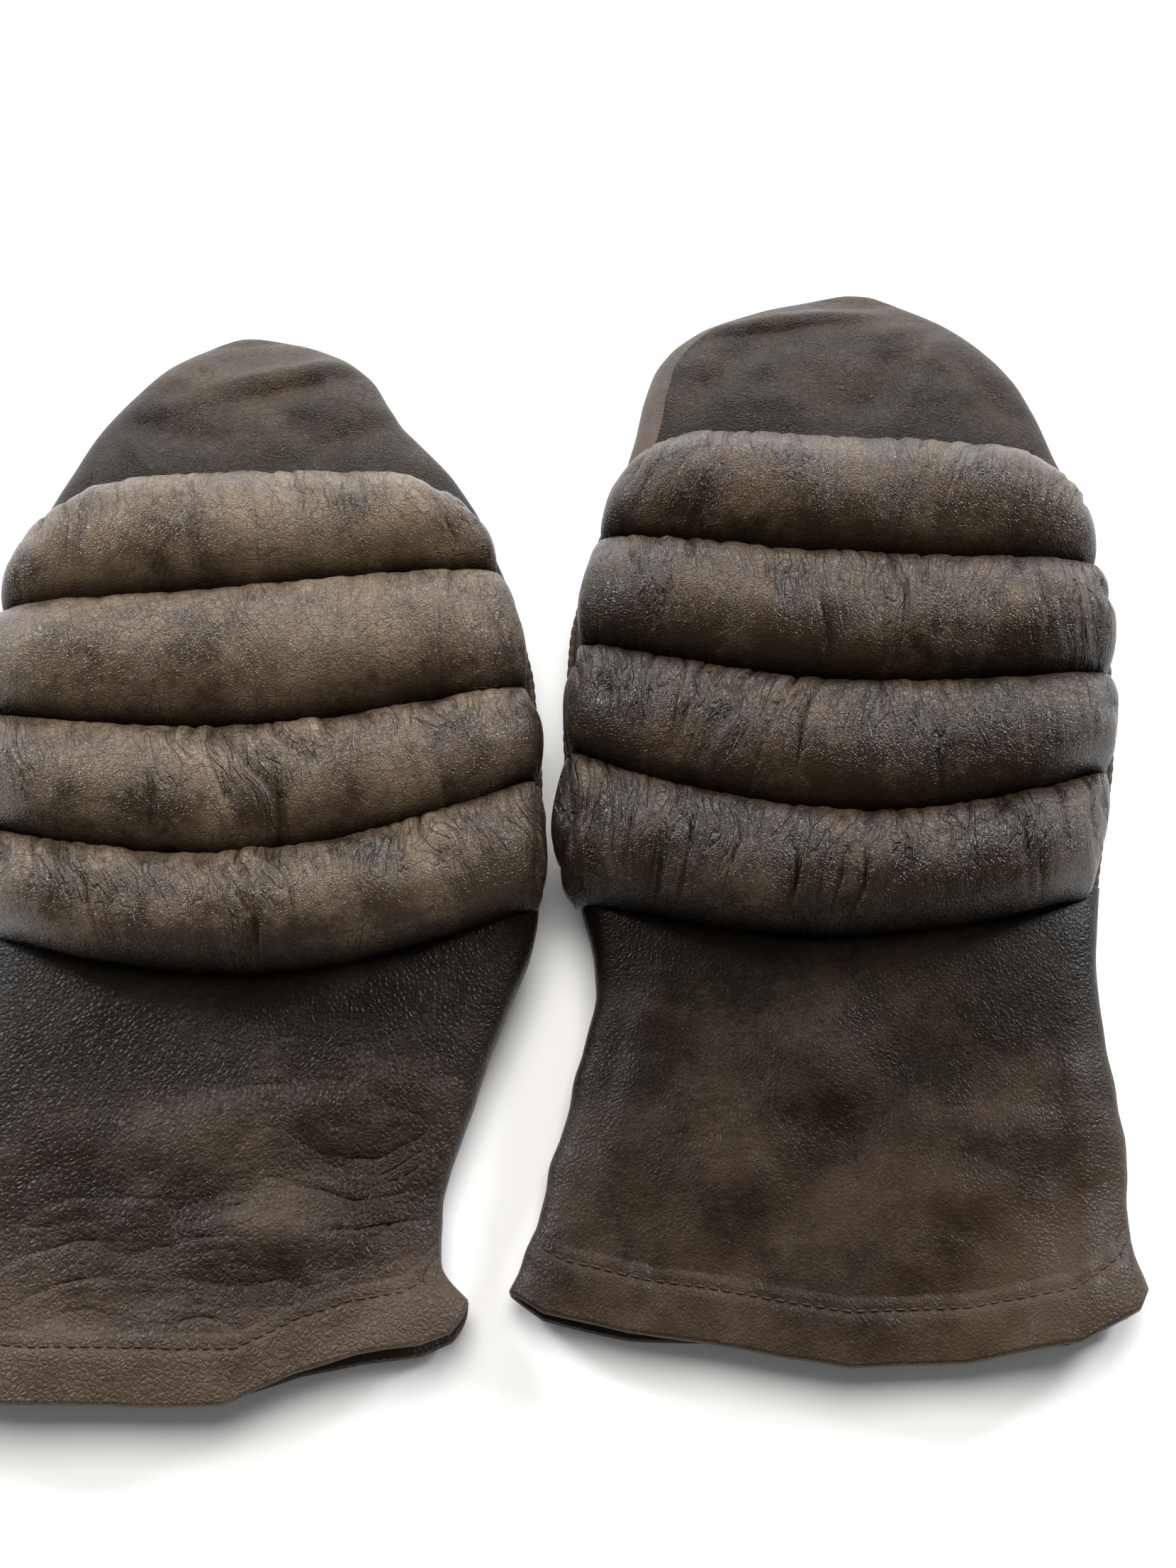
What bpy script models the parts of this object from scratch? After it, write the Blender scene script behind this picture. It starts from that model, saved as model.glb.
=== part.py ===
"""A pair of padded leather gauntlet mitts, lying palm down side by side.

Each mitt is four soft bodies: the hand, the fingers, the cuff and the thumb, which is tucked flat under
the palm. Metres, +Z up, fingertips towards +Y, the bench at z = 0. Sizes below are in millimetres and
are given in a mitt's own frame: u across, growing towards the little finger, v along towards the
fingertips, w up. A mitt's frame stands on the bench under the middle of its second channel groove.
"""

import math

import bmesh
import bpy

MM = 0.001

# Where each mitt lies: side is +1 when its little finger points to +X. outer and inner hold the half
# widths on the little finger and thumb sides, from the hem to the fingertips. grooves hold the channel
# seams from the cap down: where each crosses the middle, how far its ends bow up, and its slant
MITTS = {
    "right": {
        "side": 1, "at": (82.6, 28.6), "yaw": 3.5, "hem": -177.0, "cuff_skew": 0.0, "tip": 131.5,
        "tip_shift": 4.5,
        "outer": ((-180.0, 74.0), (-164.0, 70.5), (-147.0, 71.0), (-130.0, 71.0), (-115.0, 69.5),
                  (-92.0, 65.0), (-76.0, 64.0), (-56.0, 66.0), (-20.0, 71.0), (10.0, 71.5), (36.0, 68.0),
                  (60.0, 62.0), (73.0, 57.5), (86.0, 53.5), (97.0, 48.5), (105.0, 43.0), (113.0, 35.0),
                  (120.0, 26.5), (126.0, 16.5), (131.5, 6.5)),
        "inner": ((-180.0, 76.0), (-165.0, 69.0), (-147.0, 66.0), (-130.0, 64.5), (-115.0, 62.0),
                  (-92.0, 58.5), (-80.0, 61.0), (-70.0, 66.0), (-57.0, 69.0), (-36.0, 69.5), (-20.0, 69.5),
                  (10.0, 69.2), (36.0, 65.5), (60.0, 59.0), (73.0, 56.0), (86.0, 54.5), (97.0, 52.5),
                  (105.0, 49.0), (113.0, 42.0), (120.0, 31.0), (126.0, 19.0), (131.5, 7.0)),
        "grooves": ((66.0, -3.0, 0.0), (30.0, 5.0, 0.0), (-7.3, 10.3, 0.0), (-44.5, 18.0, 0.0),
                    (-75.0, 12.0, 3.0)),
    },
    "left": {
        "side": -1, "at": (-68.9, 13.6), "yaw": 5.0, "hem": -169.0, "cuff_skew": 18.0, "tip": 130.5,
        "tip_shift": 2.0,
        "outer": ((-180.0, 76.0), (-160.0, 72.5), (-130.0, 70.0), (-100.0, 67.0), (-76.0, 65.5),
                  (-56.0, 67.5), (-20.0, 71.0), (10.0, 71.5), (36.0, 68.0), (60.0, 60.5), (73.0, 54.0),
                  (84.0, 48.5), (94.0, 43.5), (103.0, 37.5), (112.0, 30.0), (120.0, 23.0), (130.5, 6.5)),
        "inner": ((-180.0, 76.0), (-160.0, 70.5), (-152.0, 64.5), (-145.0, 60.5), (-136.0, 58.5),
                  (-122.0, 57.0), (-108.0, 57.0), (-90.0, 59.5), (-78.0, 63.0), (-60.0, 68.2), (-36.0, 70.2),
                  (-10.0, 70.4), (10.0, 70.0), (36.0, 67.0), (60.0, 60.5), (73.0, 54.0), (84.0, 46.5),
                  (92.0, 41.0), (101.0, 37.5), (110.0, 34.5), (118.0, 28.5), (125.0, 19.0), (130.5, 7.5)),
        "grooves": ((70.5, -7.7, 2.2), (35.0, 2.6, -0.5), (-5.3, 11.0, 2.0), (-40.2, 17.0, -0.9),
                    (-71.5, 14.0, 1.9)),
    },
}

# Lengths along a mitt
KNUCKLE_V = 32.5
WRIST_V = -76.0
HEM_BOW = 13.0
HINGE_GAP = 5.0

# Undersides and tops of the leather at stations from the hem to the fingertips
BOTTOMS = ((-180.0, 0.0), (-125.0, 0.0), (-90.0, 6.5), (-70.0, 9.6), (44.0, 9.6), (80.0, 5.0),
           (112.0, 0.0), (131.5, 0.0))
TOPS = ((-180.0, 15.5), (-165.0, 15.8), (-150.0, 16.8), (-125.0, 18.6), (-100.0, 21.0), (-84.0, 22.8),
        (-70.0, 24.5), (44.0, 24.5), (75.0, 23.5), (100.0, 20.5), (113.0, 16.0), (131.5, 6.0))
SEAM_SHARE = 0.42  # height of the side seam between underside and top
SECTION_POWER = 3.4
FLAT_SHARE = 0.96  # the section is cut flat above this share of its height

# Layers, counted inwards from the leather's outside
LEATHER = 1.6
LAYER_GAP = 0.4
LINING = 0.9
HEM_TURN = 15.0
HEM_LEATHER = 3.0

# Padded channels
ROLL_HEIGHT = 20.5
ROLL_POWER = 3.0
ROLL_END_POWER = 9.0
ROLL_REACH = 0.975
STUFFING_REACH = (0.9, 0.84)  # shares of the channel's length and width

# Thumb
THUMB_ROOT = (-49.0, -47.0)
THUMB_LENGTH = 62.0
THUMB_HALF = 17.5
THUMB_HEIGHT = 9.2
THUMB_TURN = 3.5
THUMB_MOUTH = 10.5

# Threads and welts
THREAD_RADIUS = 0.4
WELT_RADIUS = 1.0

CAP_LINE_V = 66.0

LEATHER_BACK = (0.115, 0.085, 0.062)
LEATHER_ROLL = (0.135, 0.098, 0.068)
LEATHER_PALM = (0.090, 0.062, 0.043)
LEATHER_CUFF = (0.075, 0.058, 0.045)
LINING_CLOTH = (0.42, 0.36, 0.27)
STUFFING_FELT = (0.50, 0.44, 0.34)
THREAD = (0.34, 0.24, 0.14)


def at_station(stations, v):
    """The value at v, on straight lines from one station to the next."""
    if v <= stations[0][0]:
        return stations[0][1]
    for (v0, value0), (v1, value1) in zip(stations, stations[1:]):
        if v <= v1:
            share = (v - v0) / (v1 - v0)
            return value0 + (value1 - value0) * share
    return stations[-1][1]


def half_width(mitt, v, sign):
    """Half the width at v, on the little finger side where sign is positive."""
    return at_station(mitt["outer"] if sign > 0.0 else mitt["inner"], v)


def middle(mitt, v):
    """The cuff slants towards the little finger side below the wrist, and the fingertips do a little."""
    past = max(0.0, WRIST_V + 10.0 - v)
    slant = math.tan(math.radians(mitt["cuff_skew"])) * past * past / (past + 9.0)
    return slant + mitt["tip_shift"] * max(0.0, (v - 80.0) / 50.0) ** 2


def levels(v):
    """Underside, side seam and top of the leather's outside."""
    bottom, top = at_station(BOTTOMS, v), at_station(TOPS, v)
    return bottom, bottom + SEAM_SHARE * (top - bottom), top


def section(angle, power=SECTION_POWER, flat=FLAT_SHARE):
    """A point on a rounded box of half sides 1 with a flat top and bottom, as an angle goes round it."""
    cos, sin = math.cos(angle), math.sin(angle)
    return (
        math.copysign(abs(cos) ** (2.0 / power), cos),
        math.copysign(min(abs(sin) ** (2.0 / power) / flat, 1.0), sin),
    )


def layer_point(mitt, angle, v, depth, lift=0.0):
    """A point depth inside the leather's outside, at an angle from the little finger edge over the back.

    lift raises the line of the side seam, where the back and palm halves part.
    """
    across, up = section(angle)
    inset = depth if v > CAP_LINE_V - 15.0 else 0.0
    bottom, _, top = levels(v + inset)
    seam = levels(v)[1] + lift
    half = max(half_width(mitt, v + inset, across) - depth, 0.8)
    height = top - depth - seam if up > 0.0 else seam - bottom - depth
    return middle(mitt, v) + half * across, v, seam + up * max(height, 0.3)


def back_top(mitt, u, v):
    """Height of the back leather's outside at u, v."""
    _, seam, top = levels(v)
    off = u - middle(mitt, v)
    share = min(abs(off) / half_width(mitt, v, off), 1.0)
    rise = (1.0 - share**SECTION_POWER) ** (1.0 / SECTION_POWER)
    return seam + LAYER_GAP + (top - seam) * min(rise / FLAT_SHARE, 1.0)


def groove_line(mitt, index, share):
    middle_v, bow, slant = mitt["grooves"][index]
    return middle_v + bow * share * share + slant * share


def to_world(mitt, point):
    u, v, w = point
    yaw = math.radians(mitt["yaw"])
    x0, y0 = mitt["at"]
    return (
        MM * (x0 + mitt["side"] * (u * math.cos(yaw) + v * math.sin(yaw))),
        MM * (y0 - u * math.sin(yaw) + v * math.cos(yaw)),
        MM * w,
    )


def pivots(mitt):
    """The joint axes' points, in the mitt's frame, by body."""
    return {
        "hand": (0.0, 0.0, 0.0),
        "fingers": (0.0, KNUCKLE_V, levels(KNUCKLE_V)[1]),
        "cuff": (0.0, WRIST_V, levels(WRIST_V)[1]),
        "thumb": (*THUMB_ROOT, THUMB_HEIGHT / 2.0),
    }


def make_material(name, color, roughness):
    material = bpy.data.materials.new(name)
    material.use_nodes = True
    shader = material.node_tree.nodes["Principled BSDF"]
    shader.inputs["Base Color"].default_value = (*color, 1.0)
    shader.inputs["Roughness"].default_value = roughness
    shader.inputs["Metallic"].default_value = 0.0
    material.diffuse_color = (*color, 1.0)
    return material


def finish(bm, name, body, color, roughness, collection=None):
    """Places a mesh that is modelled in a mitt's frame, with its origin on its body's joint axis."""
    side_name = name.split("_")[0]
    mitt = MITTS[side_name]
    origin = to_world(mitt, pivots(mitt)[body])
    for vert in bm.verts:
        x, y, z = to_world(mitt, vert.co)
        vert.co = (x - origin[0], y - origin[1], z - origin[2])
    bmesh.ops.recalc_face_normals(bm, faces=bm.faces)
    if bm.calc_volume(signed=True) < 0.0:
        bmesh.ops.reverse_faces(bm, faces=bm.faces)
    mesh = bpy.data.meshes.new(name)
    bm.to_mesh(mesh)
    bm.free()
    item = bpy.data.objects.new(name, mesh)
    item.location = origin
    mesh.materials.append(make_material(name, color, roughness))
    (collection or parts).objects.link(item)
    return item


def slab(columns, rows, outside, inside):
    """A grid drawn out into a closed sheet, its two faces shaped by functions of (a, b) in -1..1."""
    bm = bmesh.new()
    bmesh.ops.create_grid(bm, x_segments=columns, y_segments=rows, size=1.0)
    return shape_layers(bm, outside, inside)


def shape_layers(bm, outside, inside):
    outer = {vert: (vert.co.x, vert.co.y) for vert in bm.verts}
    drawn = bmesh.ops.extrude_face_region(bm, geom=bm.faces[:])
    for item in drawn["geom"]:
        if isinstance(item, bmesh.types.BMVert):
            item.co = inside(item.co.x, item.co.y)
    for vert, (a, b) in outer.items():
        vert.co = outside(a, b)
    return bm


def sleeve(segments, rows, outside, inside, closed_tip):
    """A tube made from a rolled grid, open at its low end and, if asked, closed at its high end."""
    bm = bmesh.new()
    bmesh.ops.create_grid(bm, x_segments=segments, y_segments=rows, size=1.0)
    for vert in bm.verts:
        angle = math.pi * vert.co.x
        vert.co = (math.cos(angle), math.sin(angle), vert.co.y)
    bmesh.ops.remove_doubles(bm, verts=bm.verts, dist=0.0001)
    if closed_tip:
        rim = [e for e in bm.edges if e.is_boundary and e.verts[0].co.z > 0.999 and e.verts[1].co.z > 0.999]
        bmesh.ops.holes_fill(bm, edges=rim, sides=0)
    outer = {vert: (math.atan2(vert.co.y, vert.co.x), vert.co.z) for vert in bm.verts}
    drawn = bmesh.ops.extrude_face_region(bm, geom=bm.faces[:])
    for item in drawn["geom"]:
        if isinstance(item, bmesh.types.BMVert):
            item.co = inside(math.atan2(item.co.y, item.co.x), item.co.z)
    for vert, (angle, b) in outer.items():
        vert.co = outside(angle, b)
    return bm


def cord(name, body, points, radius, color, roughness):
    """A thin round cord through points of a mitt's frame."""
    mitt = MITTS[name.split("_")[0]]
    origin = to_world(mitt, pivots(mitt)[body])
    curve = bpy.data.curves.new(name, "CURVE")
    curve.dimensions = "3D"
    curve.bevel_depth = radius * MM
    curve.bevel_resolution = 1
    curve.use_fill_caps = True
    line = curve.splines.new("POLY")
    line.points.add(len(points) - 1)
    for spot, point in zip(line.points, points):
        x, y, z = to_world(mitt, point)
        spot.co = (x - origin[0], y - origin[1], z - origin[2], 1.0)
    item = bpy.data.objects.new(name, curve)
    item.location = origin
    curve.materials.append(make_material(name, color, roughness))
    parts.objects.link(item)
    return item


def lerp(low, high, share):
    return low + (high - low) * share


def shell(name, body, mitt, v_low, v_high, side, color, columns=10, rows=5, ease=1.0, low_bow=0.0,
          high_bow=0.0, low_slant=0.0, high_slant=0.0, seam_gap=LAYER_GAP / 2.0, hem=False):
    """Half of the flattened tube: side +1 is the back of the mitt and -1 the palm."""

    def at(a, b, deep):
        angle = math.pi * (0.5 - 0.5 * a) * side
        share = section(angle)[0]
        low = v_low + low_bow * share * share + low_slant * share
        high = v_high + high_bow * share * share + high_slant * share
        v = lerp(low, high, (0.5 * (b + 1.0)) ** ease)
        if hem and deep > 0.0 and b < -0.99:
            deep = HEM_LEATHER
        return layer_point(mitt, angle, v, deep, side * seam_gap)

    bm = slab(columns, rows, lambda a, b: at(a, b, 0.0), lambda a, b: at(a, b, LEATHER))
    return finish(bm, name, body, color, 0.6)


def lining(name, body, mitt, v_low, v_high, rows=4, closed_tip=False, low_bow=0.0, slack=0.5):
    depth = LEATHER + LAYER_GAP + slack

    def at(angle, b, deep):
        share = section(angle)[0]
        low = v_low + low_bow * share * share
        v = lerp(low, v_high - (deep if closed_tip else 0.0), 0.5 * (b + 1.0))
        return layer_point(mitt, angle, v, depth + deep)

    bm = sleeve(16, rows, lambda g, b: at(g, b, 0.0), lambda g, b: at(g, b, LINING), closed_tip)
    return finish(bm, name, body, LINING_CLOTH, 0.95)


def roll_lift(across, along):
    """Height share of a padded channel at shares across the mitt and across the channel."""
    return (1.0 - abs(across) ** ROLL_END_POWER) * (1.0 - abs(along) ** ROLL_POWER)


def roll_panel(name, body, mitt, first, last, columns=10, rows_each=6):
    """The overlay sheet whose channels lie between the grooves first and last."""
    count = last - first

    def at(a, b, drop):
        share = math.sin(0.5 * math.pi * a)
        place = 0.5 * (b + 1.0) * count
        index = min(int(place + 1e-6), count - 1)
        along = 2.0 * (place - index) - 1.0
        bent = math.sin(0.5 * math.pi * along)
        low = groove_line(mitt, last - index, share)
        high = groove_line(mitt, last - index - 1, share)
        if index == 0:
            low += 1.5
        if index == count - 1:
            high -= 1.5
        v = lerp(low, high, 0.5 * (bent + 1.0))
        u = middle(mitt, v) + share * ROLL_REACH * half_width(mitt, v, share)
        lift = ROLL_HEIGHT * roll_lift(share, bent) + LEATHER - drop
        return u, v, back_top(mitt, u, v) + LAYER_GAP + lift

    rows = rows_each * count
    bm = slab(columns, rows, lambda a, b: at(a, b, 0.0), lambda a, b: at(a, b, LEATHER))
    return finish(bm, name, body, LEATHER_ROLL, 0.5)


def stuffing(name, body, mitt, index):
    """The long pad inside the channel between groove index and the next one down."""

    def at(a, b, top):
        share, along = math.sin(0.5 * math.pi * a), math.sin(0.5 * math.pi * b)
        reach = STUFFING_REACH[0] * share
        place = 0.5 * (STUFFING_REACH[1] * along + 1.0)
        v = lerp(groove_line(mitt, index + 1, reach), groove_line(mitt, index, reach), place)
        u = middle(mitt, v) + reach * ROLL_REACH * half_width(mitt, v, reach)
        lift = 0.5 + (ROLL_HEIGHT - 2.6) * roll_lift(share, along) if top else 0.0
        return u, v, back_top(mitt, u, v) + LAYER_GAP + 0.2 + lift

    bm = slab(8, 4, lambda a, b: at(a, b, True), lambda a, b: at(a, b, False))
    return finish(bm, name, body, STUFFING_FELT, 0.95)


def groove_thread(name, body, mitt, index, nudge=0.0, lift=LAYER_GAP + LEATHER + 2.3):
    """The seam thread lying along a groove, lift above the back leather."""
    points = []
    for step in range(-6, 7):
        share = 0.146 * step
        v = groove_line(mitt, index, share) + nudge
        u = middle(mitt, v) + share * ROLL_REACH * half_width(mitt, v, share)
        points.append((u, v, back_top(mitt, u, v) + lift))
    return cord(name, body, points, THREAD_RADIUS, THREAD, 0.8)


def thumb_point(mitt, along, across, w):
    """A point of the thumb: along from its root's centre, across towards the little finger."""
    turn = math.radians(THUMB_TURN)
    u0, v0 = THUMB_ROOT
    return (
        u0 - along * math.sin(turn) + across * math.cos(turn),
        v0 + along * math.cos(turn) + across * math.sin(turn),
        w,
    )


def thumb_layer(angle, b, depth, length_low, length_high):
    """Plan of a round-ended finger, by an angle round its section and b along it."""
    across, up = section(angle, 3.0, 0.94)
    along = lerp(length_low + depth, length_high - depth, 0.5 * (math.sin(0.5 * math.pi * b) + 1.0))
    end = max(-along, along - THUMB_LENGTH, 0.0)
    radius = THUMB_HALF - depth
    half = math.sqrt(max(radius * radius - end * end, 1.0))
    height = max(THUMB_HEIGHT / 2.0 - depth, 0.3)
    flat = max(min(1.0, half / radius * 1.4), 0.25)
    return along, half * across, THUMB_HEIGHT / 2.0 + up * height * (flat if up > 0.0 else 1.0)


def thumb_half(name, mitt, side, low, high, thick=1.4):
    def at(a, b, deep):
        angle = math.pi * (0.5 - 0.5 * a) * side
        along, across, w = thumb_layer(angle, b, deep, low, high)
        return thumb_point(mitt, along, across, w + side * LAYER_GAP / 2.0 * (1.0 - abs(w - 4.6) / 4.6))

    bm = slab(8, 8, lambda a, b: at(a, b, 0.0), lambda a, b: at(a, b, thick))
    return finish(bm, name, "thumb", LEATHER_PALM, 0.6)


def cut_mouth(item, mitt, depth_low, depth_high):
    """Opens a round way from the palm down to the thumb."""
    bm = bmesh.new()
    bmesh.ops.create_cone(bm, cap_ends=True, segments=16, radius1=THUMB_MOUTH, radius2=THUMB_MOUTH,
                          depth=depth_high - depth_low)
    for vert in bm.verts:
        vert.co = (
            vert.co.x + THUMB_ROOT[0] + 6.0,
            vert.co.y + THUMB_ROOT[1],
            vert.co.z + 0.5 * (depth_low + depth_high),
        )
    cutter = finish(bm, item.name + "_mouth", "hand", THREAD, 0.9, cutters)
    cutter.hide_render = True
    cutter.display_type = "WIRE"
    cut = item.modifiers.new("thumb mouth", "BOOLEAN")
    cut.operation = "DIFFERENCE"
    cut.solver = "EXACT"
    cut.object = cutter


def build_hand(name, mitt):
    low, high = WRIST_V + HINGE_GAP / 2.0, KNUCKLE_V - HINGE_GAP / 2.0
    palm = shell(f"{name}_hand_palm", "hand", mitt, low, high, -1, LEATHER_PALM)
    cut_mouth(palm, mitt, 4.0, 13.0)
    shell(f"{name}_hand_back", "hand", mitt, low, high, 1, LEATHER_BACK)
    inner = lining(f"{name}_hand_lining", "hand", mitt, low, high)
    cut_mouth(inner, mitt, 5.0, 15.0)
    roll_panel(f"{name}_roll_panel_hand", "hand", mitt, 1, 4)
    for index in (1, 2, 3):
        stuffing(f"{name}_roll_{index + 1}_stuffing", "hand", mitt, index)
    groove_thread(f"{name}_groove_thread_2_3", "hand", mitt, 2, nudge=0.1, lift=LAYER_GAP + LEATHER + 2.6)
    groove_thread(f"{name}_groove_thread_3_4", "hand", mitt, 3, nudge=0.2, lift=LAYER_GAP + LEATHER + 2.8)
    for edge, sign in (("inner", -1.0), ("outer", 1.0)):
        points = []
        for step in range(9):
            v = lerp(low + 1.0, high - 1.0, step / 8.0)
            reach = half_width(mitt, v, sign) + WELT_RADIUS + 2.0 * LAYER_GAP
            points.append((middle(mitt, v) + sign * reach, v, levels(v)[1]))
        cord(f"{name}_side_welt_{edge}", "hand", points, WELT_RADIUS, LEATHER_PALM, 0.6)


def build_fingers(name, mitt):
    low, tip = KNUCKLE_V + HINGE_GAP / 2.0, mitt["tip"]
    seam, bow, slant = mitt["grooves"][0]
    shell(f"{name}_finger_palm", "fingers", mitt, low, tip, -1, LEATHER_PALM, rows=8, ease=0.6,
          seam_gap=LAYER_GAP)
    shell(f"{name}_finger_back", "fingers", mitt, low, seam - 0.3, 1, LEATHER_BACK, rows=3,
          high_bow=bow, high_slant=slant, seam_gap=LAYER_GAP)
    shell(f"{name}_finger_cap", "fingers", mitt, seam + 0.3, tip, 1, LEATHER_BACK, rows=7, ease=0.6,
          low_bow=bow, low_slant=slant, seam_gap=LAYER_GAP)
    lining(f"{name}_finger_lining", "fingers", mitt, low, tip - 9.0, rows=6, closed_tip=True, slack=1.0)
    roll_panel(f"{name}_roll_panel_fingers", "fingers", mitt, 0, 1)
    stuffing(f"{name}_roll_1_stuffing", "fingers", mitt, 0)
    groove_thread(f"{name}_groove_thread_cap", "fingers", mitt, 0, nudge=1.6, lift=0.9)


def build_cuff(name, mitt):
    high = WRIST_V - HINGE_GAP / 2.0
    for half, side in (("back", 1), ("palm", -1)):
        shell(f"{name}_cuff_{half}", "cuff", mitt, mitt["hem"], high, side, LEATHER_CUFF, rows=6,
              low_bow=HEM_BOW, hem=True)
    lining(f"{name}_cuff_lining", "cuff", mitt, mitt["hem"] + HEM_TURN, high, rows=5, low_bow=HEM_BOW)
    points = []
    for step in range(13):
        angle = math.pi * lerp(0.06, 0.94, step / 12.0)
        share = section(angle)[0]
        v = mitt["hem"] + HEM_BOW * share * share + 12.0
        u, _, w = layer_point(mitt, angle, v, -1.0)
        points.append((u, v, w + 0.4))
    cord(f"{name}_hem_thread", "cuff", points, THREAD_RADIUS, THREAD, 0.8)


def build_thumb(name, mitt):
    full_low, full_high = -THUMB_HALF + 1.0, THUMB_LENGTH + THUMB_HALF - 0.6
    thumb_half(f"{name}_thumb_outer", mitt, -1, full_low, full_high)
    thumb_half(f"{name}_thumb_inner", mitt, 1, THUMB_MOUTH + 4.0, full_high)
    depth = 1.4 + LAYER_GAP

    def at(angle, b, deep):
        along, across, w = thumb_layer(angle, b, depth + deep, THUMB_MOUTH + 4.0, full_high)
        return thumb_point(mitt, along, across, w)

    bm = sleeve(12, 7, lambda g, b: at(g, b, 0.0), lambda g, b: at(g, b, 0.7), closed_tip=True)
    finish(bm, f"{name}_thumb_lining", "thumb", LINING_CLOTH, 0.95)


for leftover in list(bpy.data.objects):
    bpy.data.objects.remove(leftover, do_unlink=True)

parts = bpy.data.collections.new("padded_leather_mitts")
cutters = bpy.data.collections.new("cutters")
for collection in (parts, cutters):
    bpy.context.scene.collection.children.link(collection)

for mitt_name, mitt_values in MITTS.items():
    build_hand(mitt_name, mitt_values)
    build_fingers(mitt_name, mitt_values)
    build_cuff(mitt_name, mitt_values)
    build_thumb(mitt_name, mitt_values)
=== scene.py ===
import math

import bmesh
import bpy
import numpy as np
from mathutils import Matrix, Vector


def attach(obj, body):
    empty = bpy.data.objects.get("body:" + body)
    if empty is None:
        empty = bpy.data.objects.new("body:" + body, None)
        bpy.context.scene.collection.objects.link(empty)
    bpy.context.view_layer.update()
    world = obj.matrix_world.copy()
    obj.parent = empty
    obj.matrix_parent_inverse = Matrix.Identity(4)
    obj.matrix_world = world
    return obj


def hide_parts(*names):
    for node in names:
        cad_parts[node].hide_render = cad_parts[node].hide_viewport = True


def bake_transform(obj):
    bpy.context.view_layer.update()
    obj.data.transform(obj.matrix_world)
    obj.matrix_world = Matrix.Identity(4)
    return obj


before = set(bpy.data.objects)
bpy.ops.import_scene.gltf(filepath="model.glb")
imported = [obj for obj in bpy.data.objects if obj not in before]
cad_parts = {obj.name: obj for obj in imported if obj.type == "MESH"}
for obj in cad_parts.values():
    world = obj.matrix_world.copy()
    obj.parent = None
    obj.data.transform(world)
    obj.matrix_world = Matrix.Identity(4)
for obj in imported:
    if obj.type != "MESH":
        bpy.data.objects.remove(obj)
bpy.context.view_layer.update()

# ------------------------------------------------------------------------------------------------
# The bench, the light and the camera. The bench is a plain pale top. A wide low window stands behind the
# fingertips and a small one at each side, a broad soft light hangs overhead, and the camera looks down
# steeply from the cuffs.
# ------------------------------------------------------------------------------------------------
BENCH_SIZE, BENCH_TOP = 4.0, -0.0004
CAMERA_PLACE = (0.0167, -0.2457, 0.5412)
CAMERA_ELEVATION = math.radians(65.0)
CAMERA_FRAME, CAMERA_LENS = 36.0, 51.43
ROOM_LIGHT = 0.24
LAMPS = {  # place, what it points at, width, depth, watts, colour, whether it shows in gloss
    "window_light": ((0.05, 0.98, 0.32), (0.0, 0.0, 0.02), 0.9, 0.28, 9.0, (0.93, 0.96, 1.0), True),
    "ceiling_light": ((0.0, 0.30, 1.20), (0.0, 0.0, 0.0), 0.8, 0.8, 15.5, (1.0, 0.97, 0.93), False),
    "left_window": ((-0.62, 0.36, 0.42), (0.05, 0.0, 0.03), 0.16, 0.22, 5.0, (0.94, 0.96, 1.0), True),
    "right_window": ((0.66, 0.34, 0.40), (0.05, 0.0, 0.03), 0.16, 0.22, 5.0, (0.94, 0.96, 1.0), True),
}


def node(tree, kind, sockets=None, **settings):
    """Adds a shader node. Sockets holds its inputs by name or number, each a number or another socket."""
    made = tree.nodes.new("ShaderNode" + kind)
    for key, value in settings.items():
        setattr(made, key, value)
    for key, value in (sockets or {}).items():
        if isinstance(value, bpy.types.NodeSocket):
            tree.links.new(value, made.inputs[key])
        else:
            made.inputs[key].default_value = value
    return made


def blank_material(name):
    material = bpy.data.materials.new(name)
    material.use_nodes = True
    return material, material.node_tree, material.node_tree.nodes["Principled BSDF"]


def put_out(name, mesh, material):
    """An object of a finished mesh, in one material."""
    mesh.materials.append(material)
    item = bpy.data.objects.new(name, mesh)
    bpy.context.scene.collection.objects.link(item)
    return item


def bench_paint():
    material, tree, shader = blank_material("bench_paint")
    place = node(tree, "TexCoord").outputs["Object"]
    cloud = node(tree, "TexNoise", {"Vector": place, "Scale": 3.0, "Detail": 2.0})
    tint = node(tree, "Mix", {"Factor": cloud.outputs["Fac"], 6: (0.93, 0.93, 0.93, 1.0),
                              7: (0.96, 0.96, 0.955, 1.0)}, data_type="RGBA")
    tree.links.new(tint.outputs[2], shader.inputs["Base Color"])
    shader.inputs["Roughness"].default_value = 0.85
    return material


bench_mesh = bpy.data.meshes.new("bench")
bench_mesh.from_pydata(
    [(x * BENCH_SIZE / 2.0, y * BENCH_SIZE / 2.0, BENCH_TOP)
     for x, y in ((-1, -1), (1, -1), (1, 1), (-1, 1))],
    [], [(0, 1, 2, 3)])
bench = put_out("bench", bench_mesh, bench_paint())

world = bpy.data.worlds.new("room")
bpy.context.scene.world = world
world.use_nodes = True
world.node_tree.nodes["Background"].inputs["Color"].default_value = (0.96, 0.98, 1.0, 1.0)
world.node_tree.nodes["Background"].inputs["Strength"].default_value = ROOM_LIGHT
world.cycles_visibility.glossy = False

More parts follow.
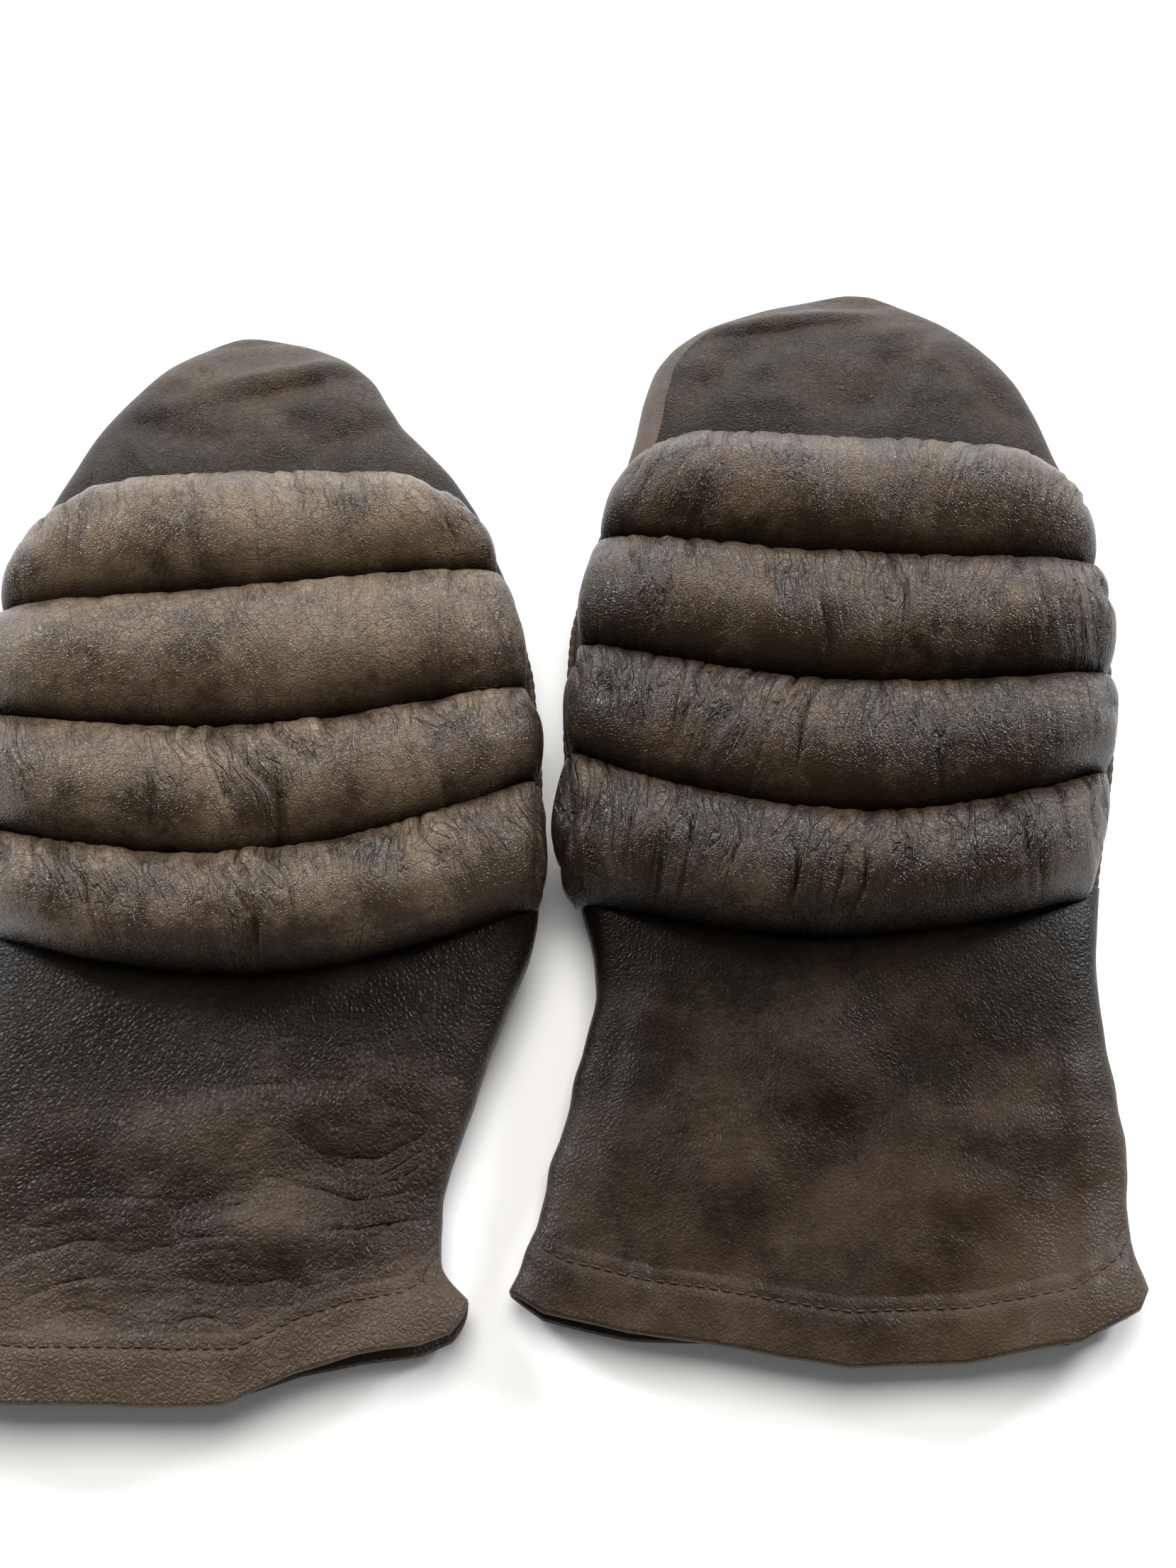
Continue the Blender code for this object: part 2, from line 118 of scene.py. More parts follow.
for lamp_name, (lamp_place, aim, width, depth, watts, colour, glossy) in LAMPS.items():
    light = bpy.data.lights.new(lamp_name, "AREA")
    light.shape, light.size, light.size_y = "RECTANGLE", width, depth
    light.energy, light.color = watts, colour
    lamp = bpy.data.objects.new(lamp_name, light)
    lamp.location = lamp_place
    lamp.visible_glossy = glossy
    lamp.rotation_mode = "QUATERNION"
    lamp.rotation_quaternion = (Vector(aim) - Vector(lamp_place)).to_track_quat("-Z", "Y")
    bpy.context.scene.collection.objects.link(lamp)

camera = bpy.data.objects.new("camera", bpy.data.cameras.new("camera"))
camera.location = CAMERA_PLACE
camera.rotation_mode = "QUATERNION"
look = Vector((0.0, math.cos(CAMERA_ELEVATION), -math.sin(CAMERA_ELEVATION)))
camera.rotation_quaternion = look.to_track_quat("-Z", "Y")
camera.data.sensor_fit, camera.data.sensor_height, camera.data.lens = "VERTICAL", CAMERA_FRAME, CAMERA_LENS
bpy.context.scene.collection.objects.link(camera)
bpy.context.scene.camera = camera
bpy.context.scene.view_settings.view_transform = "Standard"

# ------------------------------------------------------------------------------------------------
# The cloth linings: plain woven cotton sewn into a bag for the hand and fingers, a wider tube for the
# cuff that ends under the hem turn, and a small bag for the thumb. They are tacked in at the side seams.
#
# Each mitt is laid out in its own millimetres: u across, growing towards the little finger, v along
# towards the fingertips, w up from the bench.
# ------------------------------------------------------------------------------------------------
MM = 0.001
MITTS = {
    "right": {
        "side": 1, "place": (82.6, 28.6), "yaw": 3.5, "hem": -177.0, "skew": 0.0, "seed": 11,
        "tip": 133.0, "tip_shift": 4.5,
        "outer": ((-182, 77.0), (-165, 76.5), (-155, 75.4), (-150, 73.0), (-143, 71.0), (-130, 71.0),
                  (-115, 69.5), (-92, 65.0), (-76, 63.5), (-56, 65.0), (-20, 70.5), (10, 71.0), (36, 68.0),
                  (60, 62.5), (73, 57.5), (86, 53.5), (97, 48.5), (105, 43.0), (113, 35.0), (120, 26.5),
                  (126, 16.5), (130.5, 7.5), (133, 0.0)),
        "inner": ((-182, 78.0), (-170, 77.0), (-164, 75.0), (-157, 70.0), (-147, 66.5), (-130, 64.5),
                  (-115, 62.0), (-92, 56.5), (-80, 58.0), (-70, 61.5), (-56, 65.5), (-20, 70.0), (10, 70.0),
                  (36, 65.5), (60, 58.5), (73, 56.0), (86, 54.5), (97, 52.5), (105, 49.0), (113, 42.0),
                  (120, 31.0), (126, 19.0), (130.5, 8.5), (133, 0.0)),
        # quilting seams from the cap down: where each crosses the middle, how far its ends bow up, its slant
        "grooves": ((66.0, -3.0, 0.0), (30.0, 5.0, 0.0), (-7.3, 10.3, 0.0), (-44.5, 18.5, 1.0),
                    (-75.5, 11.0, 4.0)),
        "roll_outer": ((-80, 52.0), (-70, 60.0), (-57, 63.0), (-36, 67.0), (-10, 69.5), (18, 69.5),
                       (36, 67.0), (50, 63.0), (66, 54.0)),
        "roll_inner": ((-80, 56.0), (-73, 62.5), (-66, 67.0), (-57, 70.2), (-36, 70.0), (-10, 69.0),
                       (18, 67.0), (36, 64.5), (50, 60.5), (66, 51.0)),
    },
    "left": {
        "side": -1, "place": (-68.9, 13.6), "yaw": 5.0, "hem": -169.0, "skew": 18.0, "seed": 47,
        "tip": 132.0, "tip_shift": 2.0,
        "outer": ((-182, 78.0), (-160, 72.5), (-130, 70.0), (-100, 67.0), (-76, 65.5), (-56, 67.0),
                  (-20, 71.0), (10, 71.0), (36, 68.0), (60, 60.0), (73, 54.0), (84, 48.5), (94, 43.5),
                  (103, 37.5), (112, 30.0), (120, 23.0), (127, 13.0), (130.5, 6.0), (132, 0.0)),
        "inner": ((-182, 76.0), (-158, 74.0), (-152, 70.5), (-148, 64.0), (-145, 59.5), (-136, 58.0),
                  (-122, 56.0), (-108, 56.5), (-90, 58.5), (-78, 61.0), (-60, 66.5), (-20, 71.0),
                  (10, 71.0), (36, 67.0), (60, 60.0), (73, 54.0), (84, 46.5), (92, 41.0), (101, 37.5),
                  (110, 34.5), (118, 28.5), (126, 18.0), (130, 9.0), (132, 0.0)),
        "grooves": ((70.5, -7.7, 2.2), (35.0, 2.6, -0.5), (-5.3, 11.0, 2.0), (-40.2, 17.2, -0.9),
                    (-70.5, 15.2, 1.9)),
        "roll_outer": ((-80, 58.0), (-57, 66.0), (-36, 69.0), (-10, 70.0), (18, 69.0), (36, 66.5),
                       (50, 61.0), (70, 48.0)),
        "roll_inner": ((-80, 56.0), (-68, 64.0), (-57, 68.5), (-36, 71.0), (-10, 71.0), (18, 68.5),
                       (36, 65.5), (50, 61.0), (70, 47.0)),
    },
}
TIP_V, KNUCKLE_V, WRIST_V = 133.0, 32.5, -76.0
UNDERSIDES = ((-182, 1.9), (-125, 1.9), (-90, 6.5), (-70, 9.6), (44, 9.6), (80, 5.6), (104, 2.0),
              (123, 2.2), (133, 3.6))
BACKS = ((-182, 12.0), (-165, 13.0), (-150, 15.0), (-125, 17.5), (-100, 20.5), (-84, 22.8), (-70, 24.5),
         (44, 24.5), (75, 23.5), (98, 20.5), (112, 16.5), (121, 12.5), (128, 8.0), (133, 4.0))
SEAM_SHARE = 0.42
HAND_POWER, CUFF_POWER = 3.4, 2.5  # how square the hand and the empty cuff are in section
LINING_DEPTH, LINING_THICK = 2.9, 0.8
LINING_LIGHT, LINING_DARK = (0.40, 0.34, 0.25, 1.0), (0.19, 0.15, 0.10, 1.0)


def station(stations, v):
    """A softened line through (v, value) stations, rounding off fully at the fingertip."""
    known = np.array(stations, float)
    tip = known[-1, 0] if known[-1, 0] > 100.0 else TIP_V
    reach = np.sqrt(np.maximum(tip - known[::-1, 0], 0.0))
    fine = np.arange(0.0, 18.0, 0.05)
    line = np.interp(fine, reach, known[::-1, 1])
    window = np.hanning(13)
    padded = np.concatenate([2 * line[0] - line[6:0:-1], line, np.repeat(line[-1], 6)])
    soft = np.convolve(padded, window / window.sum(), mode="valid")
    return np.interp(np.sqrt(np.maximum(tip - v, 0.0)), fine, soft)


def half_width(mitt, v, sign):
    """Half the mitt's width at v, on the little finger side where sign is positive."""
    return np.where(np.asarray(sign) > 0.0, station(mitt["outer"], v), station(mitt["inner"], v))


def middle(mitt, v):
    """The cuff slants towards the little finger side below the wrist."""
    past = np.maximum(0.0, WRIST_V + 10.0 - v)
    slant = math.tan(math.radians(mitt["skew"])) * past * past / (past + 9.0)
    return slant + mitt["tip_shift"] * np.clip((v - 80.0) / 50.0, 0.0, 1.1) ** 2


def seam_height(v):
    low, high = station(UNDERSIDES, v), station(BACKS, v)
    return low + SEAM_SHARE * (high - low)


def section_power(v):
    """The hand is a rounded box, the empty cuff a flatter, sharper fold."""
    return np.interp(v, (-150.0, -80.0), (CUFF_POWER, HAND_POWER))


def body_tube(mitt, angle, v, depth=0.0):
    """Points of the mitt's outside, or depth inside it. The angle runs from the little finger edge over
    the back to the thumb edge, and on under the palm."""
    cos, sin = np.cos(angle), np.sin(angle)
    power = section_power(v)
    across = np.sign(cos) * np.abs(cos) ** (2.0 / power)
    up = np.sign(sin) * np.abs(sin) ** (2.0 / power)
    half = np.maximum(half_width(mitt, v, cos) - depth, 0.02)
    seam = seam_height(v)
    rise = np.maximum(station(BACKS, v) - seam - depth, 0.02)
    fall = np.maximum(seam - station(UNDERSIDES, v) - depth, 0.02)
    return middle(mitt, v) + half * across, v + 0.0 * angle, seam + up * np.where(up > 0.0, rise, fall)


def hills(x, y, seed):
    """Smooth random hills and dips between -1 and 1, about one unit apart."""
    column, row = np.floor(x), np.floor(y)
    right, top = x - column, y - row
    right, top = right * right * (3.0 - 2.0 * right), top * top * (3.0 - 2.0 * top)

    def post(i, j):
        wild = np.sin(i * 127.1 + j * 311.7 + seed * 74.7) * 43758.5453
        return 2.0 * (wild - np.floor(wild)) - 1.0

    low = post(column, row) * (1.0 - right) + post(column + 1, row) * right
    high = post(column, row + 1) * (1.0 - right) + post(column + 1, row + 1) * right
    return low * (1.0 - top) + high * top


def smooth_step(value, low, high):
    share = np.clip((value - low) / (high - low), 0.0, 1.0)
    return share * share * (3.0 - 2.0 * share)


def bench_place(mitt, u, v, w):
    """From a mitt's own millimetres to metres on the bench, as an array of points."""
    yaw = math.radians(mitt["yaw"])
    x = mitt["place"][0] + mitt["side"] * (u * math.cos(yaw) + v * math.sin(yaw))
    y = mitt["place"][1] - u * math.sin(yaw) + v * math.cos(yaw)
    return np.stack([x, y, w + 0.0 * x], axis=-1) * MM


def surface_normals(points, wrapped):
    """The direction square to a grid of points, at each of them."""
    if wrapped:
        ringed = np.concatenate([points[:, -2:-1], points, points[:, 1:2]], axis=1)
        across = (ringed[:, 2:] - ringed[:, :-2])
    else:
        across = np.gradient(points, axis=1)
    along = np.gradient(points, axis=0)
    normals = np.cross(across, along)
    return normals / np.maximum(np.linalg.norm(normals, axis=-1, keepdims=True), 1e-12)


def sewn_sheet(name, points, thick, material, outward=1.0, wrapped=False, keep=None, skin=None, shades=None):
    """A closed sheet: points is a grid of one of its faces in metres, and its other face lies thick
    millimetres away, on the side that outward turns it to.

    Its cut edges are rounded over. A wrapped sheet joins its last column to its first. keep marks the
    cells that are cloth, skin holds a second grid of flat coordinates and shades values for the finish.
    """
    rows, columns = points.shape[:2]
    normals = surface_normals(points, wrapped) * outward
    inside = points - normals * (thick * MM)
    if wrapped:
        points, inside, normals = points[:, :-1], inside[:, :-1], normals[:, :-1]
    wide = points.shape[1]
    index = np.arange(rows * wide).reshape(rows, wide)
    right = np.roll(index, -1, axis=1)
    cells = np.stack([index[:-1], right[:-1], right[1:], index[1:]], axis=-1)
    if not wrapped:
        cells = cells[:, :-1]
    cells = cells.reshape(-1, 4) if keep is None else cells[keep]
    if outward < 0.0:
        cells = cells[:, ::-1]
    flat, under = points.reshape(-1, 3), inside.reshape(-1, 3)
    edges = np.concatenate([cells[:, [i, (i + 1) % 4]] for i in range(4)])
    key = edges[:, 0].astype(np.int64) * len(flat) + edges[:, 1]
    back = edges[:, 1].astype(np.int64) * len(flat) + edges[:, 0]
    rim = edges[~np.isin(key, back)]
    tangent = flat[rim[:, 1]] - flat[rim[:, 0]]
    side = np.cross(tangent, normals.reshape(-1, 3)[rim[:, 0]])
    away = np.zeros_like(flat)
    np.add.at(away, rim[:, 0], side)
    np.add.at(away, rim[:, 1], side)
    away /= np.maximum(np.linalg.norm(away, axis=1, keepdims=True), 1e-12)
    on_rim = np.unique(rim)
    ring = np.full(len(flat), -1)
    ring[on_rim] = 2 * len(flat) + np.arange(len(on_rim))
    bulge = (flat[on_rim] + under[on_rim]) / 2.0 + away[on_rim] * (0.4 * thick * MM)
    total = len(flat)
    faces = np.concatenate([
        cells,
        cells[:, ::-1] + total,
        np.stack([rim[:, 1], rim[:, 0], ring[rim[:, 0]], ring[rim[:, 1]]], axis=-1),
        np.stack([ring[rim[:, 1]], ring[rim[:, 0]], rim[:, 0] + total, rim[:, 1] + total], axis=-1),
    ])
    spots = np.concatenate([flat, under, bulge])
    used = np.zeros(len(spots), bool)
    used[faces] = True
    renumber = np.cumsum(used) - 1
    mesh = bpy.data.meshes.new(name)
    mesh.from_pydata(spots[used].tolist(), [], renumber[faces].tolist())
    mesh.polygons.foreach_set("use_smooth", [True] * len(mesh.polygons))

    def spread(values):
        values = values[:, :-1] if wrapped else values
        values = values.reshape(total, -1)
        return np.concatenate([values, values, values[on_rim]])[used]

    if skin is not None:
        layer = mesh.uv_layers.new(name="skin")
        corners = np.empty(len(mesh.loops), np.int64)
        mesh.loops.foreach_get("vertex_index", corners)
        layer.data.foreach_set("uv", spread(skin)[corners].astype(np.float32).ravel())
    for shade, values in (shades or {}).items():
        layer = mesh.attributes.new(shade, "FLOAT", "POINT")
        layer.data.foreach_set("value", spread(values)[:, 0].astype(np.float32))
    return put_out(name, mesh, material)


def woven_cotton():
    """Plain weave, 0.8 mm between threads, dull and a little soiled."""
    material, tree, shader = blank_material("woven_cotton")
    place = node(tree, "UVMap", uv_map="skin").outputs["UV"]
    wobble = node(tree, "TexNoise", {"Vector": place, "Scale": 40.0, "Detail": 2.0})
    drift = node(tree, "VectorMath", {0: wobble.outputs["Color"], 1: (0.004, 0.004, 0.0)}, operation="MULTIPLY")
    threads = node(tree, "VectorMath", {0: place, 1: drift.outputs[0]}, operation="ADD")
    warp = node(tree, "TexWave", {"Vector": threads.outputs[0], "Scale": 40.0, "Distortion": 0.4},
                wave_type="BANDS", bands_direction="X")
    weft = node(tree, "TexWave", {"Vector": threads.outputs[0], "Scale": 40.0, "Distortion": 0.4},
                wave_type="BANDS", bands_direction="Y")
    weave = node(tree, "Math", {0: warp.outputs["Fac"], 1: weft.outputs["Fac"]}, operation="MULTIPLY")
    soil = node(tree, "TexNoise", {"Vector": place, "Scale": 9.0, "Detail": 6.0})
    cover = node(tree, "MapRange", {"Value": soil.outputs["Fac"], 1: 0.35, 2: 0.7})
    mixed = node(tree, "Math", {0: weave.outputs[0], 1: cover.outputs[0]}, operation="MULTIPLY")
    tint = node(tree, "Mix", {"Factor": mixed.outputs[0], 6: LINING_DARK, 7: LINING_LIGHT}, data_type="RGBA")
    bump = node(tree, "Bump", {"Height": weave.outputs[0], "Strength": 0.7, "Distance": 0.0003})
    tree.links.new(tint.outputs[2], shader.inputs["Base Color"])
    tree.links.new(bump.outputs[0], shader.inputs["Normal"])
    shader.inputs["Roughness"].default_value = 0.95
    shader.inputs["Specular IOR Level"].default_value = 0.2
    shader.inputs["Sheen Weight"].default_value = 0.2
    return material


cotton = woven_cotton()
THUMB_ROOT, THUMB_LENGTH, THUMB_HALF, THUMB_HEIGHT = (-49.0, -47.0), 62.0, 17.5, 7.4
THUMB_TURN, THUMB_MOUTH, THUMB_POWER = math.radians(3.5), 10.5, 2.6


def towards_tip(tip, low, high, share):
    """Places from low to high, closer together towards the fingertip."""
    start, stop = np.sqrt(tip - low), np.sqrt(np.maximum(tip - high, 0.0))
    return tip - (start + (stop - start) * share) ** 2


def ring_grid(tip, count_round, count_along, low, high):
    """Angles round a tube and places along it."""
    angle, share = np.meshgrid(np.linspace(0.0, 2.0 * math.pi, count_round + 1),
                               np.linspace(0.0, 1.0, count_along + 1))
    return angle, towards_tip(tip, low, high, share)


def thumb_tube(mitt, angle, share, depth, low):
    """The round-ended thumb, flat under the palm, as an angle goes round it and share along it."""
    high = THUMB_LENGTH + THUMB_HALF - 0.6 - depth
    along = low + (high - low) * np.sin(0.5 * math.pi * share)
    end = np.maximum(np.maximum(-along, along - THUMB_LENGTH), 0.0)
    radius = THUMB_HALF - depth
    half = np.sqrt(np.maximum(radius * radius - end * end, 0.3))
    cos, sin = np.cos(angle), np.sin(angle)
    across = half * np.sign(cos) * np.abs(cos) ** (2.0 / THUMB_POWER)
    thick = (THUMB_HEIGHT / 2.0 - depth) * np.clip(half / radius * 1.3, 0.12, 1.0)
    lift = np.sign(sin) * np.abs(sin) ** (2.0 / THUMB_POWER) * thick
    u = THUMB_ROOT[0] - along * math.sin(THUMB_TURN) + across * math.cos(THUMB_TURN)
    v = THUMB_ROOT[1] + along * math.cos(THUMB_TURN) + across * math.sin(THUMB_TURN)
    return u, v, THUMB_HEIGHT / 2.0 + 0.3 + lift


def across_knuckle(item):
    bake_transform(item)


def across_wrist(item):
    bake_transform(item)


for mitt_name, mitt in MITTS.items():
    angle, v = ring_grid(mitt["tip"], 72, 90, -62.0, mitt["tip"] - 9.0)
    pucker = 0.25 * hills(angle * 9.0, v / 11.0, mitt["seed"])
    u, v_in, w = body_tube(mitt, angle, v, LINING_DEPTH + pucker)
    skin = np.stack([angle * 0.30, v / 100.0], axis=-1)
    lining = sewn_sheet(f"{mitt_name}_lining_hand", bench_place(mitt, u, v_in, w), LINING_THICK, cotton,
                        outward=mitt["side"], wrapped=True, skin=skin)
    across_knuckle(lining)
    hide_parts(f"{mitt_name}_hand_lining", f"{mitt_name}_finger_lining")

    angle, v = ring_grid(mitt["tip"], 96, 50, mitt["hem"] + 21.0, -66.0)
    v = v + 8.0 * np.cos(angle) ** 2 * smooth_step(-v, 90.0, 160.0)
    pucker = 0.5 * hills(angle * 7.0, v / 14.0, mitt["seed"] + 1)
    u, v_in, w = body_tube(mitt, angle, v, LINING_DEPTH + pucker)
    skin = np.stack([angle * 0.30, v / 100.0], axis=-1)
    lining = sewn_sheet(f"{mitt_name}_lining_cuff", bench_place(mitt, u, v_in, w), LINING_THICK, cotton,
                        outward=mitt["side"], wrapped=True, skin=skin)
    across_wrist(lining)
    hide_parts(f"{mitt_name}_cuff_lining")

    angle, share = np.meshgrid(np.linspace(0.0, 2.0 * math.pi, 37), np.linspace(0.0, 1.0, 31))
    u, v, w = thumb_tube(mitt, angle, share, 2.0, THUMB_MOUTH + 4.0)
    skin = np.stack([angle * 0.06, share * 0.7], axis=-1)
    lining = sewn_sheet(f"{mitt_name}_lining_thumb", bench_place(mitt, u, v, w), 0.6, cotton,
                        outward=mitt["side"], wrapped=True, skin=skin)
    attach(lining, f"{mitt_name}_thumb")
    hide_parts(f"{mitt_name}_thumb_lining")

# ------------------------------------------------------------------------------------------------
# The base leather: the inner back of each mitt, a plain piece of hide that the stuffed rolls are
# quilted to. Only its edge shows, between the rolls' ends and the side seams.
# ------------------------------------------------------------------------------------------------
HIDE_THICK = 1.4
WRIST_LAP = -66.0  # how far down the hand's pieces reach, inside the cuff


def leather(name, tints, grain, depth, gloss, crackle=0.3, creases=0.0, shine=0.36, blotch=3.4):
    """Old oiled cowhide. Tints are dark, middle and worn colours; the dark one also paints shade where it
    falls in grooves and creases. Grain is the pebbles' size in millimetres and depth their height. Gloss
    is its roughness where it is smooth, crackle how much the finish has cracked, creases how dark the
    painted shade in its fine creases is, shine how waxy and blotch how patchy it is."""
    dark, mid, worn = ((*tint, 1.0) for tint in tints)
    material, tree, shader = blank_material(name)

    def maths(kind, *values, clamp=False):
        made = node(tree, "Math", dict(enumerate(values)), operation=kind)
        made.use_clamp = clamp
        return made.outputs[0]

    def blend_tints(share, low, high):
        return node(tree, "Mix", {"Factor": share, 6: low, 7: high}, data_type="RGBA").outputs[2]

    def ramp(value, low, high, start=0.0, stop=1.0, smooth=True):
        made = node(tree, "MapRange", {"Value": value, 1: low, 2: high, 3: start, 4: stop})
        made.interpolation_type = "SMOOTHSTEP" if smooth else "LINEAR"
        return made.outputs[0]

    place = node(tree, "TexCoord").outputs["Object"]

    def cloud(scale, detail, roughness=0.5, kind="Fac"):
        made = node(tree, "TexNoise", {"Vector": place, "Scale": scale, "Detail": detail,
                                       "Roughness": roughness})
        return made.outputs[kind]

    def shade(name):
        return node(tree, "Attribute", attribute_name=name).outputs["Fac"]

    drift = node(tree, "VectorMath", {0: cloud(210.0, 3.0, kind="Color"), 1: (0.0026, 0.0026, 0.0026)},
                 operation="MULTIPLY")
    bent = node(tree, "VectorMath", {0: place, 1: drift.outputs[0]}, operation="ADD").outputs[0]

    pebbles = node(tree, "TexVoronoi", {"Vector": bent, "Scale": 1000.0 / grain}, feature="DISTANCE_TO_EDGE")
    pebble_tops = ramp(pebbles.outputs["Distance"], 0.0, 0.30)
    pores = cloud(1500.0 / grain, 3.0, 0.6)
    nets = node(tree, "TexVoronoi", {"Vector": bent, "Scale": 1000.0 / (3.4 * grain)},
                feature="DISTANCE_TO_EDGE")
    net_lines = ramp(nets.outputs["Distance"], 0.0, 0.05, 1.0, 0.0)
    patch, speck, broad = cloud(62.0, 7.0, 0.68), cloud(640.0, 4.0, 0.75), cloud(17.0, 2.0)

    wear = maths("MULTIPLY_ADD", patch, blotch, -0.5 * blotch - 0.6)
    wear = maths("MULTIPLY_ADD", speck, 1.2, wear)
    wear = maths("ADD", shade("worn"), wear, clamp=True)
    tint = blend_tints(ramp(broad, 0.32, 0.68), mid, tuple(0.6 * c for c in mid[:3]) + (1.0,))
    tint = blend_tints(wear, tint, worn)
    scuff = ramp(speck, 0.60, 0.74, 0.0, 0.55)
    tint = blend_tints(maths("MULTIPLY", scuff, wear), tint, tuple(1.25 * c for c in worn[:3]) + (1.0,))
    hollow = ramp(pebble_tops, 0.0, 1.0, 0.16, 0.0, smooth=False)
    tint = blend_tints(hollow, tint, dark)
    cracked = maths("MULTIPLY", net_lines, ramp(patch, 0.44, 0.62, 0.0, crackle))
    tint = blend_tints(maths("MULTIPLY", cracked, 0.6), tint, dark)
    height = maths("MULTIPLY", pebble_tops, 0.55)
    height = maths("MULTIPLY_ADD", pores, 0.5, height)
    height = maths("MULTIPLY_ADD", cracked, -0.9, height)
    if creases:
        flat = node(tree, "UVMap", uv_map="skin").outputs["UV"]
        for wide, long, sharp, cut in ((1.6, 12.0, 0.04, 1.0), (3.4, 22.0, 0.035, 2.6)):
            strips = node(tree, "Mapping", {"Vector": flat, "Location": (13.7 + wide, 5.3, 0.37),
                                            "Scale": (100.0 / wide, 100.0 / long, 1.0)}).outputs[0]
            folds = node(tree, "TexNoise", {"Vector": strips, "Scale": 1.0, "Detail": 2.0, "Roughness": 0.5,
                                            "Distortion": 0.5}).outputs["Fac"]
            off = maths("ABSOLUTE", maths("SUBTRACT", folds, 0.5))
            line = maths("MULTIPLY", ramp(off, 0.0, sharp, 1.0, 0.0), shade("creased"))
            height = maths("MULTIPLY_ADD", line, -cut, height)
            # painted shade: each fine crease line is also darkened towards the dark tint
            tint = blend_tints(maths("MULTIPLY", line, 0.4 * creases), tint, dark)
        # painted shade: darkens the hide in the valleys of the creases
        tint = blend_tints(maths("MULTIPLY", shade("crease_shade"), 0.8), tint, dark)
    # painted shade: darkens the hide towards its dark tint in the grooves, on the cap by the first roll and on the
    # cuff under the fourth roll
    tint = blend_tints(shade("painted_shade"), tint, dark)

    bump = node(tree, "Bump", {"Height": height, "Strength": 1.0, "Distance": depth * MM})
    rough = ramp(patch, 0.3, 0.7, gloss - 0.06, gloss + 0.12, smooth=False)
    rough = maths("MULTIPLY_ADD", hollow, 0.5, rough)
    tree.links.new(tint, shader.inputs["Base Color"])
    tree.links.new(rough, shader.inputs["Roughness"])
    tree.links.new(bump.outputs[0], shader.inputs["Normal"])
    shader.inputs["Specular IOR Level"].default_value = shine
    return material


def groove_line(mitt, index, share):
    """How far along the mitt a quilting seam lies, at a share of the half width."""
    middle_v, bow, slant = mitt["grooves"][index]
    return middle_v + bow * share * share + slant * share


plain_hide = leather("plain_hide", ((0.006, 0.004, 0.002), (0.026, 0.017, 0.011), (0.060, 0.042, 0.028)),
                     grain=1.0, depth=0.14, gloss=0.5)


def back_sheet(mitt, low, high, columns, rows, inner_angle=0.0, outer_angle=0.0):
    """Part of the mitt's back. low and high are functions of the share across; the angles say how far
    above the side each long edge stops."""
    across, along = np.meshgrid(np.linspace(0.0, 1.0, columns + 1), np.linspace(0.0, 1.0, rows + 1))
    angle = outer_angle + (math.pi - inner_angle - outer_angle) * across
    share = np.sign(np.cos(angle)) * np.abs(np.cos(angle)) ** (2.0 / HAND_POWER)
    v = towards_tip(mitt["tip"], low(share), high(share), along)
    return angle, v, share, body_tube(mitt, angle, v)


for mitt_name, mitt in MITTS.items():
    angle, v, share, (u, v, w) = back_sheet(mitt, lambda s: WRIST_LAP + 9.0 * s * s,
                                            lambda s: groove_line(mitt, 0, s) - 9.5, 96, 110)
    w = w + 0.25 * hills(u / 9.0, v / 9.0, mitt["seed"] + 5)
    item = sewn_sheet(f"{mitt_name}_base_leather", bench_place(mitt, u, v, w), HIDE_THICK, plain_hide,
                      outward=-mitt["side"], shades={"worn": 0.4 + 0.0 * u, "painted_shade": 0.0 * u})
    across_knuckle(item)
    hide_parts(f"{mitt_name}_hand_back", f"{mitt_name}_finger_back")

# ------------------------------------------------------------------------------------------------
# The stuffing: four long pads of carded wool and hair laid across the back of each hand, firm in the
# middle and thin at the ends, one in each quilted channel.
# ------------------------------------------------------------------------------------------------
ROLL_HEIGHT = 20.8
ROLL_POWER, ROLL_END_POWER = 2.3, 5.5
WOOL_LIGHT, WOOL_DARK = (0.52, 0.46, 0.36, 1.0), (0.22, 0.18, 0.13, 1.0)


def matted_wool():
    material, tree, shader = blank_material("matted_wool")
    place = node(tree, "TexCoord").outputs["Object"]
    tufts = node(tree, "TexNoise", {"Vector": place, "Scale": 420.0, "Detail": 8.0, "Roughness": 0.7,
                                    "Distortion": 1.5})
    hair = node(tree, "TexWave", {"Vector": place, "Scale": 260.0, "Distortion": 9.0, "Detail": 4.0})
    lump = node(tree, "Math", {0: tufts.outputs["Fac"], 1: hair.outputs["Fac"]}, operation="MULTIPLY")
    tint = node(tree, "Mix", {"Factor": lump.outputs[0], 6: WOOL_DARK, 7: WOOL_LIGHT}, data_type="RGBA")
    bump = node(tree, "Bump", {"Height": lump.outputs[0], "Strength": 1.0, "Distance": 0.0008})
    tree.links.new(tint.outputs[2], shader.inputs["Base Color"])
    tree.links.new(bump.outputs[0], shader.inputs["Normal"])
    shader.inputs["Roughness"].default_value = 1.0
    shader.inputs["Specular IOR Level"].default_value = 0.1
    shader.inputs["Sheen Weight"].default_value = 0.4
    return material


def back_height(mitt, u, v):
    """Height of the base leather's outside at u, v."""
    seam = seam_height(v)
    share = np.clip(np.abs(u - middle(mitt, v)) / half_width(mitt, v, u), 0.0, 1.0)
    return seam + (station(BACKS, v) - seam) * (1.0 - share ** HAND_POWER) ** (1.0 / HAND_POWER)


